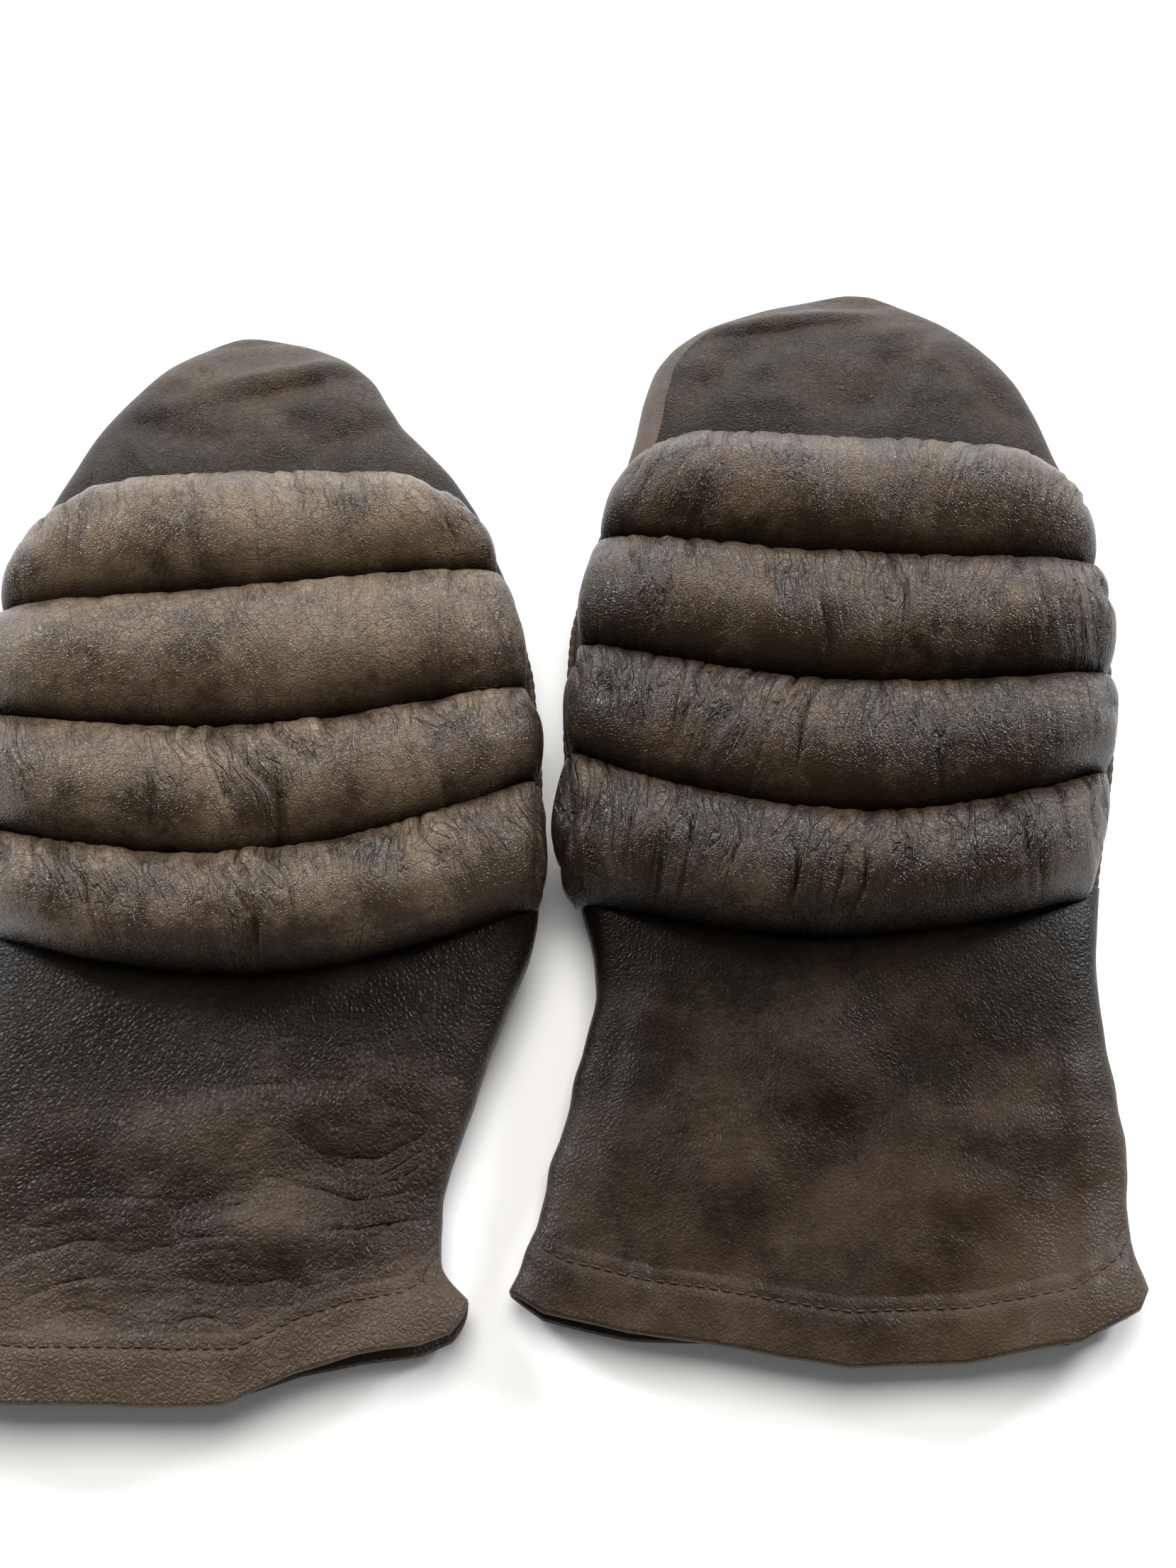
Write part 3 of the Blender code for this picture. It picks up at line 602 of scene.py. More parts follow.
def roll_place(mitt, index, share, across_roll, height):
    """A point of a channel: share across the mitt, across_roll from its lower seam (-1) to its upper (1)."""
    low, high = groove_line(mitt, index + 1, share), groove_line(mitt, index, share)
    v = low + (high - low) * 0.5 * (across_roll + 1.0)
    reach = np.where(share > 0.0, station(mitt["roll_outer"], v), station(mitt["roll_inner"], v))
    u = middle(mitt, v) + share * reach * (1.0 + 0.03 * (1.0 - across_roll ** 2))
    crown = (1.0 - np.abs(across_roll) ** ROLL_POWER) ** (1.0 / ROLL_POWER)
    ends = (1.0 - np.abs(share) ** ROLL_END_POWER) ** (1.0 / ROLL_END_POWER)
    return u, v, back_height(mitt, np.clip(u, -200, 200), v) + height * crown * ends


def close_up(mesh):
    """Joins the doubled points of a closed smooth shape and turns its faces outwards."""
    shaper = bmesh.new()
    shaper.from_mesh(mesh)
    bmesh.ops.remove_doubles(shaper, verts=shaper.verts, dist=1e-6)
    bmesh.ops.recalc_face_normals(shaper, faces=shaper.faces)
    shaper.to_mesh(mesh)
    shaper.free()
    mesh.polygons.foreach_set("use_smooth", [True] * len(mesh.polygons))


def ring_cells(count, wide):
    """Numbers of the points in a stack of closed rings, those of their neighbours, and the faces between."""
    number = np.arange(count * wide).reshape(count, wide)
    after = np.roll(number, -1, axis=1)
    return number, after, np.stack([number[:-1], after[:-1], after[1:], number[1:]], axis=-1).reshape(-1, 4)


wool = matted_wool()
for mitt_name, mitt in MITTS.items():
    for index in range(4):
        turn, along = np.meshgrid(np.linspace(0.0, 2.0 * math.pi, 33), np.linspace(-1.0, 1.0, 61))
        share = 0.90 * np.sin(0.5 * math.pi * along)
        slim = np.sqrt(np.maximum(1.0 - np.abs(np.sin(0.5 * math.pi * along)) ** 3, 0.0004))
        place_across = 0.80 * slim * np.cos(turn)
        u, v, top = roll_place(mitt, index, share, place_across, 1.0)
        ground = back_height(mitt, u, v) + 0.5
        crown = np.maximum(np.sin(turn), 0.0) ** 0.8 * slim * (ROLL_HEIGHT - 3.4)
        tuft = 0.5 * hills(u / 3.1, v / 2.7 + 9.0 * turn, mitt["seed"] + 20 + index)
        w = ground + crown * (1.0 - 0.25 * np.abs(share) ** 5) + tuft * np.maximum(np.sin(turn), 0.0)
        points = bench_place(mitt, u, v, w)
        points[0, :], points[-1, :] = points[0].mean(axis=0), points[-1].mean(axis=0)
        grid = points[:, :-1].reshape(-1, 3)
        cells = ring_cells(points.shape[0], points.shape[1] - 1)[2]
        pad_mesh = bpy.data.meshes.new(f"{mitt_name}_wool_roll_{index + 1}")
        pad_mesh.from_pydata(grid.tolist(), [], cells.tolist())
        close_up(pad_mesh)
        pad = put_out(pad_mesh.name, pad_mesh, wool)
        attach(pad, f"{mitt_name}_fingers" if index == 0 else f"{mitt_name}_hand")
        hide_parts(f"{mitt_name}_roll_{index + 1}_stuffing")

# ------------------------------------------------------------------------------------------------
# The roll leather: one soft hide drawn over all four pads and sewn down between them, so that it
# stands in fat rolls with tight grooves, puckered along each upper seam, cracked and rubbed on top.
# Shade is painted into its grooves, into its crease valleys and onto the lower part of each roll.
# ------------------------------------------------------------------------------------------------
ROLL_THICK = 1.3
ROLL_COLUMNS, ROLL_ROWS = 280, 42
LIMP_HEIGHT = 16.8  # how high the hide stands before its stuffing swells it
ROLL_TINTS = {
    "right": ((0.005, 0.003, 0.002), (0.031, 0.019, 0.010), (0.092, 0.060, 0.033)),
    "left": ((0.008, 0.005, 0.003), (0.048, 0.031, 0.018), (0.152, 0.108, 0.066)),
}
ROLL_WORN = {"right": (0.48, 0.38, 0.22, 0.24), "left": (0.74, 0.52, 0.50, 0.40)}
ROLL_CREASED = {"right": (0.55, 0.8, 1.0, 1.0), "left": (0.45, 0.35, 0.85, 0.8)}


def even_shares(count, slow=0.88, least=0.12):
    """From -1 to 1 in even steps that shorten towards both ends, where the rolls turn down."""
    middles = np.abs(np.linspace(-1.0, 1.0, count + 1)[:-1] + 1.0 / count)
    steps = 1.0 - (1.0 - least) * smooth_step(middles, slow, 1.0)
    shares = np.concatenate([[0.0], np.cumsum(steps)])
    return 2.0 * shares / shares[-1] - 1.0


def roll_grid(mitt, columns, rows_each, height):
    """The smooth outside of the four rolls, from the wrist up, with its shares."""
    steps = np.linspace(-1.0, 1.0, rows_each + 1)
    steps = np.sin(0.5 * math.pi * steps * 0.97) / math.sin(0.5 * math.pi * 0.97)
    index = np.concatenate([np.full(rows_each + (roll == 3), roll) for roll in (3, 2, 1, 0)])
    along = np.concatenate([steps if roll == 3 else steps[1:] for roll in (3, 2, 1, 0)])
    share, along = np.meshgrid(even_shares(columns), along)
    index = index[:, None] + 0 * share.astype(int)
    u, v, w = np.empty_like(share), np.empty_like(share), np.empty_like(share)
    for roll in range(4):
        here = index[:, 0] == roll
        u[here], v[here], w[here] = roll_place(mitt, roll, share[here], along[here], height)
    return index, along, share, np.stack([u, v, w + ROLL_THICK + 0.05], axis=-1)


def sharp_folds(x, y, seed, round_to=0.6):
    """Puffed ridges parted by sharp valleys: 0 on the ridges and -1 in the valleys."""
    return np.minimum(np.abs(hills(x, y, seed)) / round_to, 1.0) ** 0.6 - 1.0


def swell(points, sewn, pressure=4.0, spare=0.09, cap=6.5, unit=10.0, frames=20):
    """How far a limp sheet swells outwards when it fills like cloth, held where sewn is true.

    spare is how much longer it is than the line that it is sewn to, so that it gathers there. Only the
    movement straight out of the sheet counts, and no point moves further than cap.
    """
    rows, columns = points.shape[:2]
    number = np.arange(rows * columns).reshape(rows, columns)
    cells = np.stack([number[:-1, :-1], number[:-1, 1:], number[1:, 1:], number[1:, :-1]], axis=-1)
    mesh = bpy.data.meshes.new("limp_sheet")
    mesh.from_pydata((points.reshape(-1, 3) / unit).tolist(), [], cells.reshape(-1, 4).tolist())
    item = bpy.data.objects.new("limp_sheet", mesh)
    bpy.context.scene.collection.objects.link(item)
    item.vertex_groups.new(name="sewn").add(np.flatnonzero(sewn.ravel()).tolist(), 1.0, "ADD")
    cloth = item.modifiers.new("cloth", "CLOTH")
    cloth.settings.quality = 6
    cloth.settings.tension_stiffness = cloth.settings.compression_stiffness = 12.0
    cloth.settings.bending_stiffness = 0.15
    cloth.settings.use_pressure = True
    cloth.settings.uniform_pressure_force = pressure
    cloth.settings.shrink_min = cloth.settings.shrink_max = -spare
    cloth.settings.vertex_group_mass = "sewn"
    cloth.settings.effector_weights.gravity = 0.0
    cloth.collision_settings.use_collision = False
    cloth.point_cache.frame_start, cloth.point_cache.frame_end = 1, frames
    for number in range(1, frames + 1):
        bpy.context.scene.frame_set(number)
    filled = item.evaluated_get(bpy.context.evaluated_depsgraph_get())
    places = np.empty(rows * columns * 3)
    filled.data.vertices.foreach_get("co", places)
    bpy.data.objects.remove(item)
    bpy.data.meshes.remove(mesh)
    bpy.context.scene.frame_set(1)
    moved = places.reshape(rows, columns, 3) * unit - points
    upward = surface_normals(points, False)
    upward *= np.sign(upward[..., 2:].sum())
    swollen = np.clip((moved * upward).sum(axis=-1, keepdims=True), -0.5, cap)
    swollen[:, 2:-2] = (swollen[:, :-4] + 2 * swollen[:, 1:-3] + 3 * swollen[:, 2:-2] + 2 * swollen[:, 3:-1]
                        + swollen[:, 4:]) / 9.0
    return upward * swollen


def drawn_out(field, rows, columns):
    """A coarse grid's field read off on a finer grid, with its corners eased."""
    tall = np.linspace(0.0, field.shape[0] - 1.0, rows)
    wide = np.linspace(0.0, field.shape[1] - 1.0, columns)
    low = np.minimum(tall.astype(int), field.shape[0] - 2)
    left = np.minimum(wide.astype(int), field.shape[1] - 2)
    up, right = (tall - low)[:, None, None], (wide - left)[None, :, None]
    near = field[low][:, left] * (1 - right) + field[low][:, left + 1] * right
    far = field[low + 1][:, left] * (1 - right) + field[low + 1][:, left + 1] * right
    full = near * (1 - up) + far * up
    full[1:-1] = 0.25 * full[:-2] + 0.5 * full[1:-1] + 0.25 * full[2:]
    full[:, 1:-1] = 0.25 * full[:, :-2] + 0.5 * full[:, 1:-1] + 0.25 * full[:, 2:]
    return full


for mitt_name, mitt in MITTS.items():
    seed = mitt["seed"]
    index, along, share, shape = roll_grid(mitt, ROLL_COLUMNS, ROLL_ROWS,
                                           LIMP_HEIGHT)
    coarse_index, coarse_along, coarse_share, limp = roll_grid(mitt, ROLL_COLUMNS // 2, ROLL_ROWS // 2,
                                                               LIMP_HEIGHT)
    sewn = (np.abs(coarse_along) > 0.999) | (np.abs(coarse_share) > 0.999)
    start = 0.5 * (1.0 - coarse_along)
    nudge = 0.3 * sharp_folds(limp[..., 0] / 3.6, start * 1.5 + 7.0 * coarse_index, seed + 2)
    nudge = nudge * (1.0 - smooth_step(start, 0.2, 0.7))
    pushed = limp + surface_normals(limp, False) * (nudge * ~sewn)[..., None]
    held_in = (1.0 - 0.85 * smooth_step(np.abs(coarse_share), 0.70, 0.97))[..., None]
    shape = shape + drawn_out(swell(pushed, sewn) * held_in + pushed - limp, *shape.shape[:2])
    u, v = shape[..., 0], shape[..., 1]
    down = 0.5 * (1.0 - along)  # 0 at the upper seam, 1 at the lower one
    creased = np.choose(index, [x + 0.0 * u for x in ROLL_CREASED[mitt_name]])
    patchy = np.clip(0.95 + 0.65 * hills(u / 15.0, index * 3.7 + 0.5, seed + 3), 0.12, 1.3)
    reach = 0.72 + 0.26 * hills(u / 6.0, index * 2.3, seed + 13) + 0.1 * hills(u / 21.0, index * 1.3, seed + 15)
    fade = smooth_step(down, -0.02, 0.16) * (1.0 - smooth_step(down, reach - 0.25, reach + 0.2))
    strength = creased * patchy * fade
    lean = u + 11.0 * (down - 0.2) * (0.35 + hills(u / 30.0, index * 1.9, seed + 4))
    lean = lean + 1.6 * hills(u / 7.0, down * 4.0, seed + 14)
    wide_folds = sharp_folds(lean / 5.6, down * 1.2 + index * 7.0, seed + 7, 0.34)
    thin_folds = sharp_folds(lean / 3.2, down * 2.0 + index * 5.0, seed + 6, 0.6)
    lower = smooth_step(down, 0.86, 0.97) * 0.5 * sharp_folds(u / 2.6, index * 3.0, seed + 16)
    lumps = 0.6 * hills(u / 24.0, v / 17.0, seed + 8) + 0.22 * hills(u / 8.0, v / 9.0, seed + 9)
    crown = (1.0 - np.abs(along) ** 4) * (1.0 - np.abs(share) ** 8)
    shift = (1.75 * wide_folds + 0.85 * thin_folds) * strength + 0.4 * lower + lumps * crown
    points = bench_place(mitt, u, v, shape[..., 2])
    normals = surface_normals(points, False) * mitt["side"]
    points = points + normals * (shift * MM)[..., None]
    # painted shade: each roll darkens within a tenth of its width of its upper and lower seams, where the grooves
    # fall into shade
    painted_shade = np.clip(0.9 - 9.0 * np.minimum(down, 1.0 - down), 0.0, 0.85)
    ends = smooth_step(np.abs(share), 0.84, 1.0)
    worn = np.choose(index, [x + 0.0 * u for x in ROLL_WORN[mitt_name]])
    worn = worn + 0.22 * hills(u / 14.0, v / 10.0, seed + 12) - 0.3 * ends
    # painted shade: the lower part of each roll is made less worn and so darker, for its side turned away from the
    # light behind; the levels per roll and the patches are wear
    worn = np.clip(worn - 0.25 * smooth_step(down, 0.45, 0.95), 0.0, 1.0)
    # painted shade in the crease valleys, strongest where the creases are strongest
    crease_shade = np.clip(-(0.8 * wide_folds + 0.5 * thin_folds) - 0.3, 0.0, 1.0) * np.clip(1.4 * strength, 0.0, 1.0)
    skin = np.stack([lean / 100.0, (index * 55.0 + down * 50.0) / 100.0], axis=-1)
    hide = leather(f"roll_hide_{mitt_name}", ROLL_TINTS[mitt_name], grain=0.8, depth=0.20, gloss=0.27,
                   crackle=1.0, creases=1.0, shine=0.52)
    item = sewn_sheet(f"{mitt_name}_roll_leather", points, ROLL_THICK, hide, outward=mitt["side"], skin=skin,
                      shades={"worn": worn, "painted_shade": painted_shade, "creased": np.clip(strength, 0, 1), "crease_shade": crease_shade})
    across_knuckle(item)
    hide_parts(f"{mitt_name}_roll_panel_hand", f"{mitt_name}_roll_panel_fingers")

# ------------------------------------------------------------------------------------------------
# The fingertip cap: a plain piece of the same hide over the back of the fingertips, tucked under the
# first roll and turned in along the side seam. It is unstuffed, so it lies in soft dents.
# ------------------------------------------------------------------------------------------------
CAP_TINTS = {
    "right": ((0.005, 0.003, 0.002), (0.018, 0.012, 0.007), (0.048, 0.032, 0.020)),
    "left": ((0.006, 0.004, 0.003), (0.022, 0.015, 0.009), (0.060, 0.043, 0.028)),
}
CAP_EDGE = {"right": (0.58, 0.10), "left": (0.10, 0.10)}  # how far up its inner and outer seams stand


def ridge(u, v, place, heading, length, width):
    """A soft fold: 1 along a line through place, falling away over width and at its ends."""
    du, dv = u - place[0], v - place[1]
    turn = math.radians(heading)
    along, off = du * math.cos(turn) + dv * math.sin(turn), -du * math.sin(turn) + dv * math.cos(turn)
    return np.exp(-(off / width) ** 2 - (along / length) ** 4)


CAP_FOLDS = {  # place, heading, length, width, height
    "right": (((-12, 117), 12, 22, 3.0, 1.3), ((-20, 112), 15, 20, 2.6, -1.2), ((12, 95), 70, 16, 5.0, -1.8),
              ((22, 97), 72, 16, 3.4, 1.0), ((-33, 96), 50, 14, 5.0, -1.5), ((40, 92), 120, 12, 4.0, -1.2)),
    "left": (((-10, 112), 170, 20, 3.2, 1.2), ((-6, 105), 165, 22, 3.2, -1.6), ((18, 92), 20, 16, 4.5, -1.4),
             ((-30, 88), 155, 14, 4.0, -1.2), ((30, 84), 60, 12, 4.0, 0.8)),
}
for mitt_name, mitt in MITTS.items():
    inner_angle, outer_angle = CAP_EDGE[mitt_name]
    angle, v, share, (u, v, w) = back_sheet(mitt, lambda s: groove_line(mitt, 0, s) - 9.0,
                                            lambda s: mitt["tip"] + 0.0 * s, 150, 110,
                                            inner_angle, outer_angle)
    seed = mitt["seed"]
    inside = (1.0 - np.abs(share) ** 6) * smooth_step(mitt["tip"] - v, 1.0, 14.0)
    dents = sum(height * ridge(u, v, *fold) for *fold, height in CAP_FOLDS[mitt_name])
    dents = 1.4 * dents + 1.1 * hills(u / 21.0, v / 17.0, seed + 31) + 0.45 * hills(u / 7.0, v / 6.0, seed + 32)
    bent_u = u + 5.0 * hills(u / 15.0, v / 15.0, seed + 34)
    dents = dents + 0.35 * sharp_folds(bent_u / 9.0, v / 13.0, seed + 35, 0.4)
    w = w + dents * inside + 0.3 * (1.0 - smooth_step(v - groove_line(mitt, 0, share), 0.0, 8.0))
    hide = leather(f"cap_hide_{mitt_name}", CAP_TINTS[mitt_name], grain=0.95, depth=0.34, gloss=0.36,
                   crackle=0.7, shine=0.18)
    # painted light: the cap is made lighter towards the fingertip, where light from behind falls on it; the random
    # patches are wear
    worn = np.clip(0.15 + 0.55 * smooth_step(v, 80.0, 125.0) + 0.3 * hills(u / 15.0, v / 12.0, seed + 33), 0.0, 1.0)
    # painted shade: the cap darkens towards its seam under the first roll, where it slopes down into the groove
    # away from the light
    painted_shade = np.clip(0.85 - 0.05 * (v - groove_line(mitt, 0, share)), 0.0, 0.8)
    item = sewn_sheet(f"{mitt_name}_cap_leather", bench_place(mitt, u, v, w), HIDE_THICK, hide,
                      outward=mitt["side"], shades={"worn": worn, "painted_shade": painted_shade})
    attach(item, f"{mitt_name}_fingers")
    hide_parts(f"{mitt_name}_finger_cap")

# ------------------------------------------------------------------------------------------------
# The palm leather: thinner, paler hide under the hand and fingers, brought up round the sides to the
# seams. A round hole in it opens into the thumb.
# ------------------------------------------------------------------------------------------------
PALM_THICK, THUMB_THICK = 1.3, 1.2
PALM_TINTS = ((0.008, 0.005, 0.003), (0.034, 0.023, 0.015), (0.080, 0.057, 0.038))


def palm_sheet(mitt, low, high, columns, rows, inner_angle, outer_angle):
    """Part of the mitt's palm side. The angles are functions of v: how far up each side it reaches."""
    across, along = np.meshgrid(np.linspace(0.0, 1.0, columns + 1), np.linspace(0.0, 1.0, rows + 1))
    v = towards_tip(mitt["tip"], low, high, along)
    inner, outer = inner_angle(v), outer_angle(v)
    angle = math.pi - inner + (math.pi + inner + outer) * across
    return angle, v, body_tube(mitt, angle, v)


palm_hide = leather("palm_hide", PALM_TINTS, grain=0.9, depth=0.12, gloss=0.48, crackle=0.3)
for mitt_name, mitt in MITTS.items():
    seed = mitt["seed"]
    edge_in, edge_out = CAP_EDGE[mitt_name]
    angle, v, (u, v, w) = palm_sheet(
        mitt, WRIST_LAP, mitt["tip"], 150, 170,
        lambda v: (edge_in + 0.03) * smooth_step(v, 50.0, 66.0) - 0.02,
        lambda v: (edge_out + 0.03) * smooth_step(v, 50.0, 66.0) - 0.02)
    under = np.clip(-np.sin(angle), 0.0, 1.0)
    w = w + under * (0.5 * hills(u / 11.0, v / 13.0, seed + 41) + 0.25) * smooth_step(mitt["tip"] - v, 2.0, 20.0)
    off = np.hypot(u - THUMB_ROOT[0] - 6.0, v - THUMB_ROOT[1])
    cell_off = 0.25 * (off[:-1, :-1] + off[1:, :-1] + off[1:, 1:] + off[:-1, 1:])
    facing = (under > 0.3)[:-1, :-1]
    mouth = (cell_off < THUMB_MOUTH) & facing
    item = sewn_sheet(f"{mitt_name}_palm_leather", bench_place(mitt, u, v, w), PALM_THICK, palm_hide,
                      outward=mitt["side"], keep=~mouth,
                      shades={"worn": 0.5 + 0.3 * hills(u / 13.0, v / 13.0, seed + 42), "painted_shade": 0.0 * u})
    across_knuckle(item)
    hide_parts(f"{mitt_name}_hand_palm", f"{mitt_name}_finger_palm")

# ------------------------------------------------------------------------------------------------
# The thumb: two round-ended pieces of palm leather sewn edge to edge, flattened under the palm.
# ------------------------------------------------------------------------------------------------
for mitt_name, mitt in MITTS.items():
    for half, first_angle, low, node_name in (("under", math.pi, -THUMB_HALF + 1.0, "thumb_outer"),
                                              ("upper", 0.0, THUMB_MOUTH + 4.0, "thumb_inner")):
        angle, share = np.meshgrid(np.linspace(first_angle + 0.03, first_angle + math.pi - 0.03, 49),
                                   np.sin(0.5 * math.pi * np.linspace(-1.0, 1.0, 81)) if half == "under"
                                   else np.linspace(0.0, 1.0, 61))
        if half == "under":
            u, v, w = thumb_tube(mitt, angle, (2.0 / math.pi) * np.arcsin(0.5 * (share + 1.0)), 0.0, low)
        else:
            u, v, w = thumb_tube(mitt, angle, share, 0.0, low)
        w = w + 0.2 * hills(u / 7.0, v / 9.0, mitt["seed"] + 51)
        item = sewn_sheet(f"{mitt_name}_thumb_{half}", bench_place(mitt, u, v, w), THUMB_THICK, palm_hide,
                          outward=-mitt["side"],
                          shades={"worn": 0.5 + 0.3 * hills(u / 9.0, v / 9.0, mitt["seed"] + 52), "painted_shade": 0.0 * u})
        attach(item, f"{mitt_name}_thumb")
        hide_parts(f"{mitt_name}_{node_name}")

# ------------------------------------------------------------------------------------------------
# The gauntlet cuff: a wide tube of heavy pebbled hide, its back and palm pieces seamed at the sides, limp
# enough to settle in soft folds. Its mouth is turned in once and stitched down to make a thick hem.
# ------------------------------------------------------------------------------------------------
CUFF_THICK = 1.6
HEM_TURN, HEM_EXTRA, HEM_STITCHES = 15.0, 1.3, 12.0
HEM_RISE = {  # how far the mouth's edge is drawn up, at shares from the thumb side to the little finger side
    "right": ((-1.0, 12.8), (-0.9, 8.5), (-0.65, 4.8), (-0.4, 3.5), (-0.17, 1.4), (0.12, 0.0), (0.5, 2.9),
              (0.8, 8.3), (0.96, 17.0), (1.0, 22.0)),
    "left": ((-1.0, 17.4), (-0.93, 10.5), (-0.85, 8.2), (-0.68, 7.4), (-0.5, 4.6), (-0.3, -1.2), (0.0, 0.0),
             (0.5, 3.0), (0.85, 8.0), (1.0, 14.0)),
}
CUFF_TINTS = {
    "right": ((0.003, 0.002, 0.001), (0.017, 0.010, 0.005), (0.050, 0.032, 0.018)),
    "left": ((0.004, 0.003, 0.002), (0.022, 0.014, 0.009), (0.074, 0.052, 0.035)),
}
CUFF_GRAIN = {"right": (1.15, 0.14, 0.18), "left": (1.35, 0.3, 0.85)}  # pebble size, height, wrinkles
CUFF_MOUTH = {"right": (0.80, 0.22, 5.0), "left": (-0.82, 0.18, 3.0)}  # where it gapes, how widely, how high
CUFF_FOLDS = {
    "right": (((-18, -128), 60, 45, 9.0, 1.6), ((6, -120), 58, 45, 8.0, -1.6), ((34, -135), 50, 40, 9.0, 1.8),
              ((54, -150), 60, 22, 5.0, -1.2), ((-48, -110), 80, 30, 5.0, 1.2), ((60, -120), 95, 30, 4.0, 1.0)),
    "left": (((0, -104), 175, 45, 6.0, 1.4), ((-15, -118), 168, 45, 6.0, -1.5), ((10, -131), 10, 45, 6.0, 1.3),
             ((-42, -128), 135, 24, 6.0, 1.8), ((-30, -140), 130, 24, 5.0, -1.4), ((25, -146), 172, 40, 6.0, -1.0)),
}


def hem_line(mitt_name, share, side):
    """Where the cuff's mouth lies: the palm piece is cut a little shorter than the back."""
    shares, rises = zip(*HEM_RISE[mitt_name])
    rise = np.interp(share, shares, rises)
    shorter = 6.5 * (1.0 - share * share) * smooth_step(share, -0.9, 0.1) if side < 0 else 0.0
    return MITTS[mitt_name]["hem"] + rise + shorter


def turned_hem(from_hem, u, seed):
    """How thick the hem stands: full over the turned strip, gathered and dipped along its stitching."""
    turned = HEM_EXTRA * (1.0 - smooth_step(from_hem, HEM_TURN - 3.0, HEM_TURN + 0.6))
    puckers = 0.5 * np.exp(-((from_hem - HEM_STITCHES + 2.0) / 6.0) ** 2) * hills(u / 3.4, from_hem / 14.0, seed)
    return turned + puckers - 0.75 * np.exp(-((from_hem - HEM_STITCHES) / 1.4) ** 2)


def along_row(points, row):
    """A line read off a grid of points at a row for each column."""
    low = np.minimum(row.astype(int), points.shape[0] - 2)
    column = np.arange(points.shape[1])
    part = (row - low)[:, None]
    return points[low, column] * (1.0 - part) + points[low + 1, column] * part


hem_lines = {}
for mitt_name, mitt in MITTS.items():
    seed = mitt["seed"]
    grain, depth, wrinkling = CUFF_GRAIN[mitt_name]
    cuff_hide = leather(f"cuff_hide_{mitt_name}", CUFF_TINTS[mitt_name], grain=grain, depth=depth,
                        gloss=0.38, crackle=0.25, blotch=1.9)
    for half, side in (("back", 1), ("palm", -1)):
        columns, rows = (250, 180) if side > 0 else (150, 90)
        across, along = np.meshgrid(np.linspace(0.0, 1.0, columns + 1), np.linspace(0.0, 1.0, rows + 1))
        angle = math.pi * across if side > 0 else math.pi + math.pi * across
        share = np.sign(np.cos(angle)) * np.abs(np.cos(angle)) ** (2.0 / 3.0)
        low = hem_line(mitt_name, share, side)
        high = groove_line(mitt, 4, share) + 5.0 if side > 0 else -68.0 + 0.0 * share
        v = low + (high - low) * along
        u, v, w = body_tube(mitt, angle, v)
        from_hem = v - low
        loose = smooth_step(-v, 72.0, 110.0)
        if side > 0:
            folds = sum(height * ridge(u, v, *fold) for *fold, height in CUFF_FOLDS[mitt_name])
            folds = folds + 1.4 * hills(u / 30.0, v / 26.0, seed + 61) + 0.5 * hills(u / 9.0, v / 8.0, seed + 62)
            swayed = v + 5.0 * hills(u / 24.0, v / 30.0, seed + 66) + 1.5 * hills(u / 9.0, v / 9.0, seed + 67)
            wrinkled = np.clip(0.55 + 0.8 * hills(u / 26.0, v / 22.0, seed + 68), 0.1, 1.0)
            wrinkled = wrinkled * smooth_step(from_hem, 12.0, 20.0)
            wrinkles = sharp_folds(u / 15.0, swayed / 5.2, seed + 69, 0.5)
            wrinkles = wrinkles + 0.5 * sharp_folds(u / 8.0, swayed / 2.6, seed + 70, 0.6)
            folds = folds + wrinkling * wrinkles * wrinkled
            gape_share, gape_width, gape_height = CUFF_MOUTH[mitt_name]
            lifted = gape_height * np.exp(-((share - gape_share) / gape_width) ** 2)
            lifted = lifted * (1.0 - smooth_step(from_hem, 0.0, 34.0))
            w = w + folds * loose * (1.0 - np.abs(share) ** 6) + turned_hem(from_hem, u, seed + 71) + lifted
        wavy = 1.6 * hills(v / 24.0, 0.3 + np.sign(share), seed + 63)
        wavy = wavy + 0.6 * hills(v / 7.0, 1.3 + np.sign(share), seed + 64)
        u = u + wavy * np.sign(share) * smooth_step(np.abs(share), 0.5, 1.0) * loose
        rubbed = 0.35 * smooth_step(u / 40.0 - from_hem / 45.0, 0.0, 1.0)
        rubbed = rubbed + 0.25 * (1.0 - smooth_step(from_hem, 0.0, 16.0))
        worn = 0.1 + 0.4 * smooth_step(-v, 95.0, 165.0) + 0.35 * hills(u / 24.0, v / 18.0, seed + 65)
        worn = np.clip(worn + rubbed, 0.0, 1.0)
        # painted shadow: the cuff darkens for about 34 mm down from the wrist, where the fourth roll casts its
        # shadow
        painted_shade = np.clip(0.85 - 0.025 * (WRIST_LAP - v), 0.0, 0.8)
        points = bench_place(mitt, u, v, w)
        item = sewn_sheet(f"{mitt_name}_cuff_{half}_leather", points, CUFF_THICK, cuff_hide,
                          outward=mitt["side"], shades={"worn": worn, "painted_shade": painted_shade})
        across_wrist(item)
        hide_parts(f"{mitt_name}_cuff_{half}")
        if side > 0:
            hem_lines[mitt_name] = along_row(points, rows * HEM_STITCHES / (high - low)[0])[14:-14]

# ------------------------------------------------------------------------------------------------
# The side welts: a narrow strip of palm leather folded round a cord and caught in each side seam, from
# the wrist to the knuckles. Its hand stitches draw it in, so it stands in small beads.
# ------------------------------------------------------------------------------------------------
WELT_RADIUS, WELT_BEAD, WELT_ENDS = 1.0, 3.2, (-64.0, 27.5)


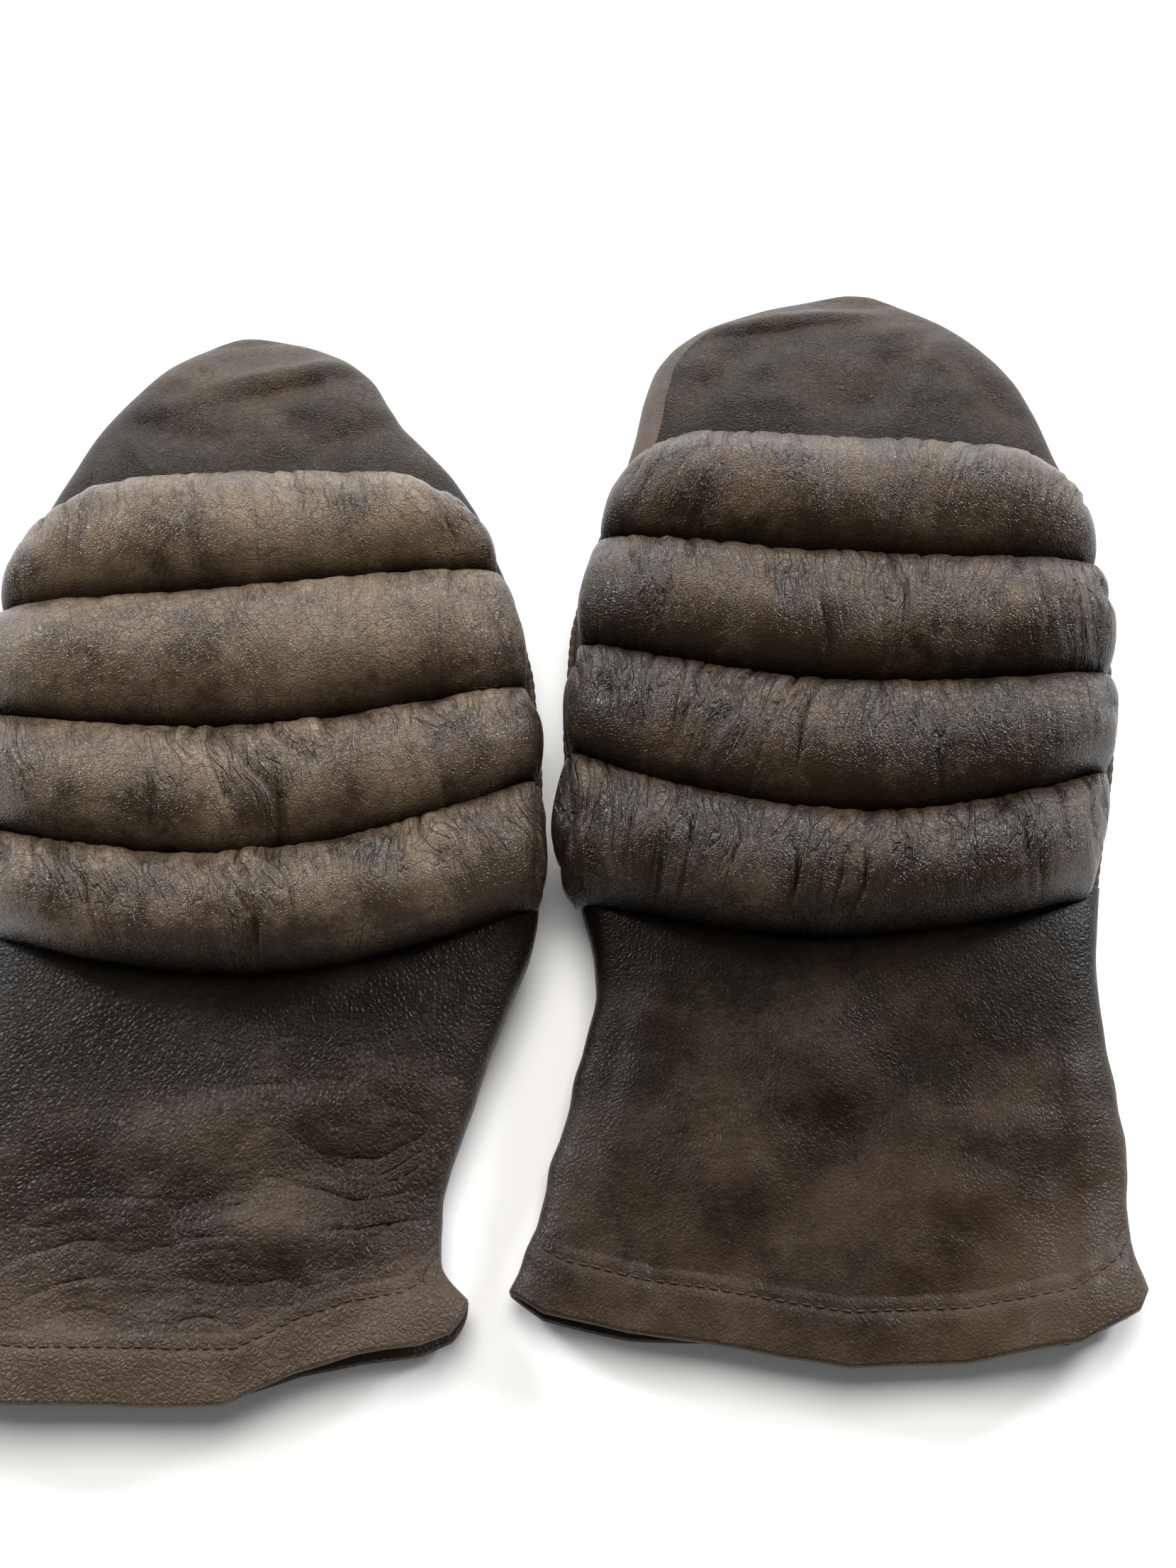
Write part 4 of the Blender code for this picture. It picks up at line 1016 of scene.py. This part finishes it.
def welt_tube(name, line, radii, material):
    """A closed round-ended tube along a line of points, with a radius at each."""
    ahead = np.gradient(line, axis=0)
    ahead /= np.linalg.norm(ahead, axis=1, keepdims=True)
    up = np.array([0.0, 0.0, 1.0]) - ahead * ahead[:, 2:]
    up /= np.linalg.norm(up, axis=1, keepdims=True)
    side = np.cross(ahead, up)
    turns = np.linspace(0.0, 2.0 * math.pi, 13)[:-1]
    circles = np.cos(turns)[:, None] * side[:, None] + np.sin(turns)[:, None] * up[:, None]
    rings = line[:, None] + radii[:, None, None] * circles
    count, wide = rings.shape[:2]
    spots = np.concatenate([rings.reshape(-1, 3), line[:1], line[-1:]])
    number, after, between = ring_cells(count, wide)
    cells = between.tolist()
    cells += [[int(a), int(b), count * wide] for a, b in zip(after[0], number[0])]
    cells += [[int(a), int(b), count * wide + 1] for a, b in zip(number[-1], after[-1])]
    mesh = bpy.data.meshes.new(name)
    mesh.from_pydata(spots.tolist(), [], cells)
    close_up(mesh)
    for shade, level in (("worn", 0.6), ("painted_shade", 0.0)):
        mesh.attributes.new(shade, "FLOAT", "POINT").data.foreach_set("value", [level] * len(mesh.vertices))
    return put_out(name, mesh, material)


for mitt_name, mitt in MITTS.items():
    for edge, sign in (("inner", -1.0), ("outer", 1.0)):
        v = np.linspace(*WELT_ENDS, 260)
        u = middle(mitt, v) + sign * (half_width(mitt, v, sign) + 0.5)
        wave = np.abs(np.sin(math.pi * v / WELT_BEAD)) ** 0.7
        blunt = np.minimum(1.0, np.sqrt(np.minimum(v - v[0], v[-1] - v) / 1.2) + 0.05)
        radii = (WELT_RADIUS - 0.22 + 0.22 * wave) * blunt
        line = bench_place(mitt, u, v, seam_height(v) + 0.35 + 0.15 * hills(v / 9.0, sign, mitt["seed"]))
        item = welt_tube(f"{mitt_name}_welt_{edge}", line, radii * MM, palm_hide)
        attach(item, f"{mitt_name}_hand")
        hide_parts(f"{mitt_name}_side_welt_{edge}")

# ------------------------------------------------------------------------------------------------
# The sewing: waxed linen thread in even hand stitches, round the turned hem of each cuff and down in
# the grooves where the roll leather and the cap are sewn to the back.
# ------------------------------------------------------------------------------------------------
STITCH_KINDS = {  # pitch, length, thickness of the thread, in millimetres
    "hem": (3.1, 2.3, 0.62),
    "groove": (3.6, 2.9, 0.7),
}
HEM_LIFT, GROOVE_LIFT = 1.8, 1.75  # how high the thread lies over the leather that it holds
THREAD_LIGHT, THREAD_DARK = (0.085, 0.050, 0.028, 1.0), (0.020, 0.012, 0.007, 1.0)


def waxed_linen():
    """Twisted brown thread, darkened with wax and dirt."""
    material, tree, shader = blank_material("waxed_linen")
    place = node(tree, "TexCoord").outputs["Object"]
    soil = node(tree, "TexNoise", {"Vector": place, "Scale": 130.0, "Detail": 4.0})
    ply = node(tree, "TexWave", {"Vector": place, "Scale": 900.0, "Distortion": 1.2, "Detail": 1.0},
               wave_type="BANDS", bands_direction="DIAGONAL")
    tint = node(tree, "Mix", {"Factor": soil.outputs["Fac"], 6: THREAD_DARK, 7: THREAD_LIGHT}, data_type="RGBA")
    bump = node(tree, "Bump", {"Height": ply.outputs["Fac"], "Strength": 0.8, "Distance": 0.00012})
    tree.links.new(tint.outputs[2], shader.inputs["Base Color"])
    tree.links.new(bump.outputs[0], shader.inputs["Normal"])
    shader.inputs["Roughness"].default_value = 0.6
    return material


def row_of_stitches():
    """Geometry nodes that lay stitches along every edge of a mesh line."""
    tree = bpy.data.node_groups.new("row_of_stitches", "GeometryNodeTree")
    sockets = {}
    for label, kind in (("Line", "Geometry"), ("Pitch", "Float"), ("Length", "Float"), ("Thickness", "Float"),
                        ("Unevenness", "Float"), ("Seed", "Int"), ("Thread", "Material")):
        made = tree.interface.new_socket(label, in_out="INPUT", socket_type="NodeSocket" + kind)
        sockets[label] = made.identifier
    tree.interface.new_socket("Stitches", in_out="OUTPUT", socket_type="NodeSocketGeometry")

    def step(kind, inputs=None, **settings):
        made = tree.nodes.new(kind)
        for key, value in settings.items():
            setattr(made, key, value)
        for key, value in (inputs or {}).items():
            if isinstance(value, bpy.types.NodeSocket):
                tree.links.new(value, made.inputs[key])
            else:
                made.inputs[key].default_value = value
        return made

    given = step("NodeGroupInput").outputs
    line = step("GeometryNodeMeshToCurve", {"Mesh": given["Line"]})
    spots = step("GeometryNodeCurveToPoints", {"Curve": line.outputs[0], "Length": given["Pitch"]}, mode="LENGTH")
    bead = step("GeometryNodeMeshUVSphere", {"Segments": 8, "Rings": 6, "Radius": 0.5})
    least = step("ShaderNodeMath", {0: 1.0, 1: given["Unevenness"]}, operation="SUBTRACT")
    most = step("ShaderNodeMath", {0: 1.0, 1: given["Unevenness"]}, operation="ADD")
    varied = step("FunctionNodeRandomValue",
                  {"Min": least.outputs[0], "Max": most.outputs[0], "Seed": given["Seed"]}, data_type="FLOAT")
    length = step("ShaderNodeMath", {0: given["Length"], 1: varied.outputs["Value"]}, operation="MULTIPLY")
    size = step("ShaderNodeCombineXYZ", {0: given["Thickness"], 1: given["Thickness"], 2: length.outputs[0]})
    laid = step("GeometryNodeInstanceOnPoints", {"Points": spots.outputs["Points"], "Instance": bead.outputs[0],
                                                 "Rotation": spots.outputs["Rotation"], "Scale": size.outputs[0]})
    real = step("GeometryNodeRealizeInstances", {"Geometry": laid.outputs[0]})
    smooth = step("GeometryNodeSetShadeSmooth", {"Geometry": real.outputs[0]})
    dressed = step("GeometryNodeSetMaterial", {"Geometry": smooth.outputs[0], "Material": given["Thread"]})
    tree.links.new(dressed.outputs[0], step("NodeGroupOutput").inputs["Stitches"])
    return tree, sockets


def sew(name, line, kind, seed):
    """A row of stitches along a line of points, as one plain mesh."""
    pitch, length, thick = STITCH_KINDS[kind]
    mesh = bpy.data.meshes.new(name + "_line")
    mesh.from_pydata(line.tolist(), [(i, i + 1) for i in range(len(line) - 1)], [])
    carrier = bpy.data.objects.new(name + "_line", mesh)
    bpy.context.scene.collection.objects.link(carrier)
    stitches = carrier.modifiers.new("stitches", "NODES")
    stitches.node_group = stitch_tree
    for label, value in (("Pitch", pitch * MM), ("Length", length * MM), ("Thickness", thick * MM),
                         ("Unevenness", 0.13), ("Seed", seed), ("Thread", linen)):
        stitches[stitch_sockets[label]] = value
    bpy.context.view_layer.update()
    made = bpy.data.meshes.new_from_object(carrier.evaluated_get(bpy.context.evaluated_depsgraph_get()))
    bpy.data.objects.remove(carrier)
    made.name = name
    item = bpy.data.objects.new(name, made)
    bpy.context.scene.collection.objects.link(item)
    return item


linen = waxed_linen()
stitch_tree, stitch_sockets = row_of_stitches()
for mitt_name, mitt in MITTS.items():
    raised = hem_lines[mitt_name] + np.array([0.0, 0.0, HEM_LIFT * MM])
    item = sew(f"{mitt_name}_hem_stitches", raised, "hem", mitt["seed"])
    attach(item, f"{mitt_name}_cuff")
    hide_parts(f"{mitt_name}_hem_thread")
    for index, node_name, body in ((0, "groove_thread_cap", "fingers"), (2, "groove_thread_2_3", "hand"),
                                   (3, "groove_thread_3_4", "hand")):
        share = np.linspace(-0.86, 0.86, 160)
        v = groove_line(mitt, index, share) + (1.4 if index == 0 else 0.0)
        u = middle(mitt, v) + share * half_width(mitt, v, share) * 0.97
        line = bench_place(mitt, u, v, back_height(mitt, u, v) + GROOVE_LIFT)
        item = sew(f"{mitt_name}_{node_name}", line, "groove", mitt["seed"] + index)
        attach(item, f"{mitt_name}_{body}")
        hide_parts(f"{mitt_name}_{node_name}")
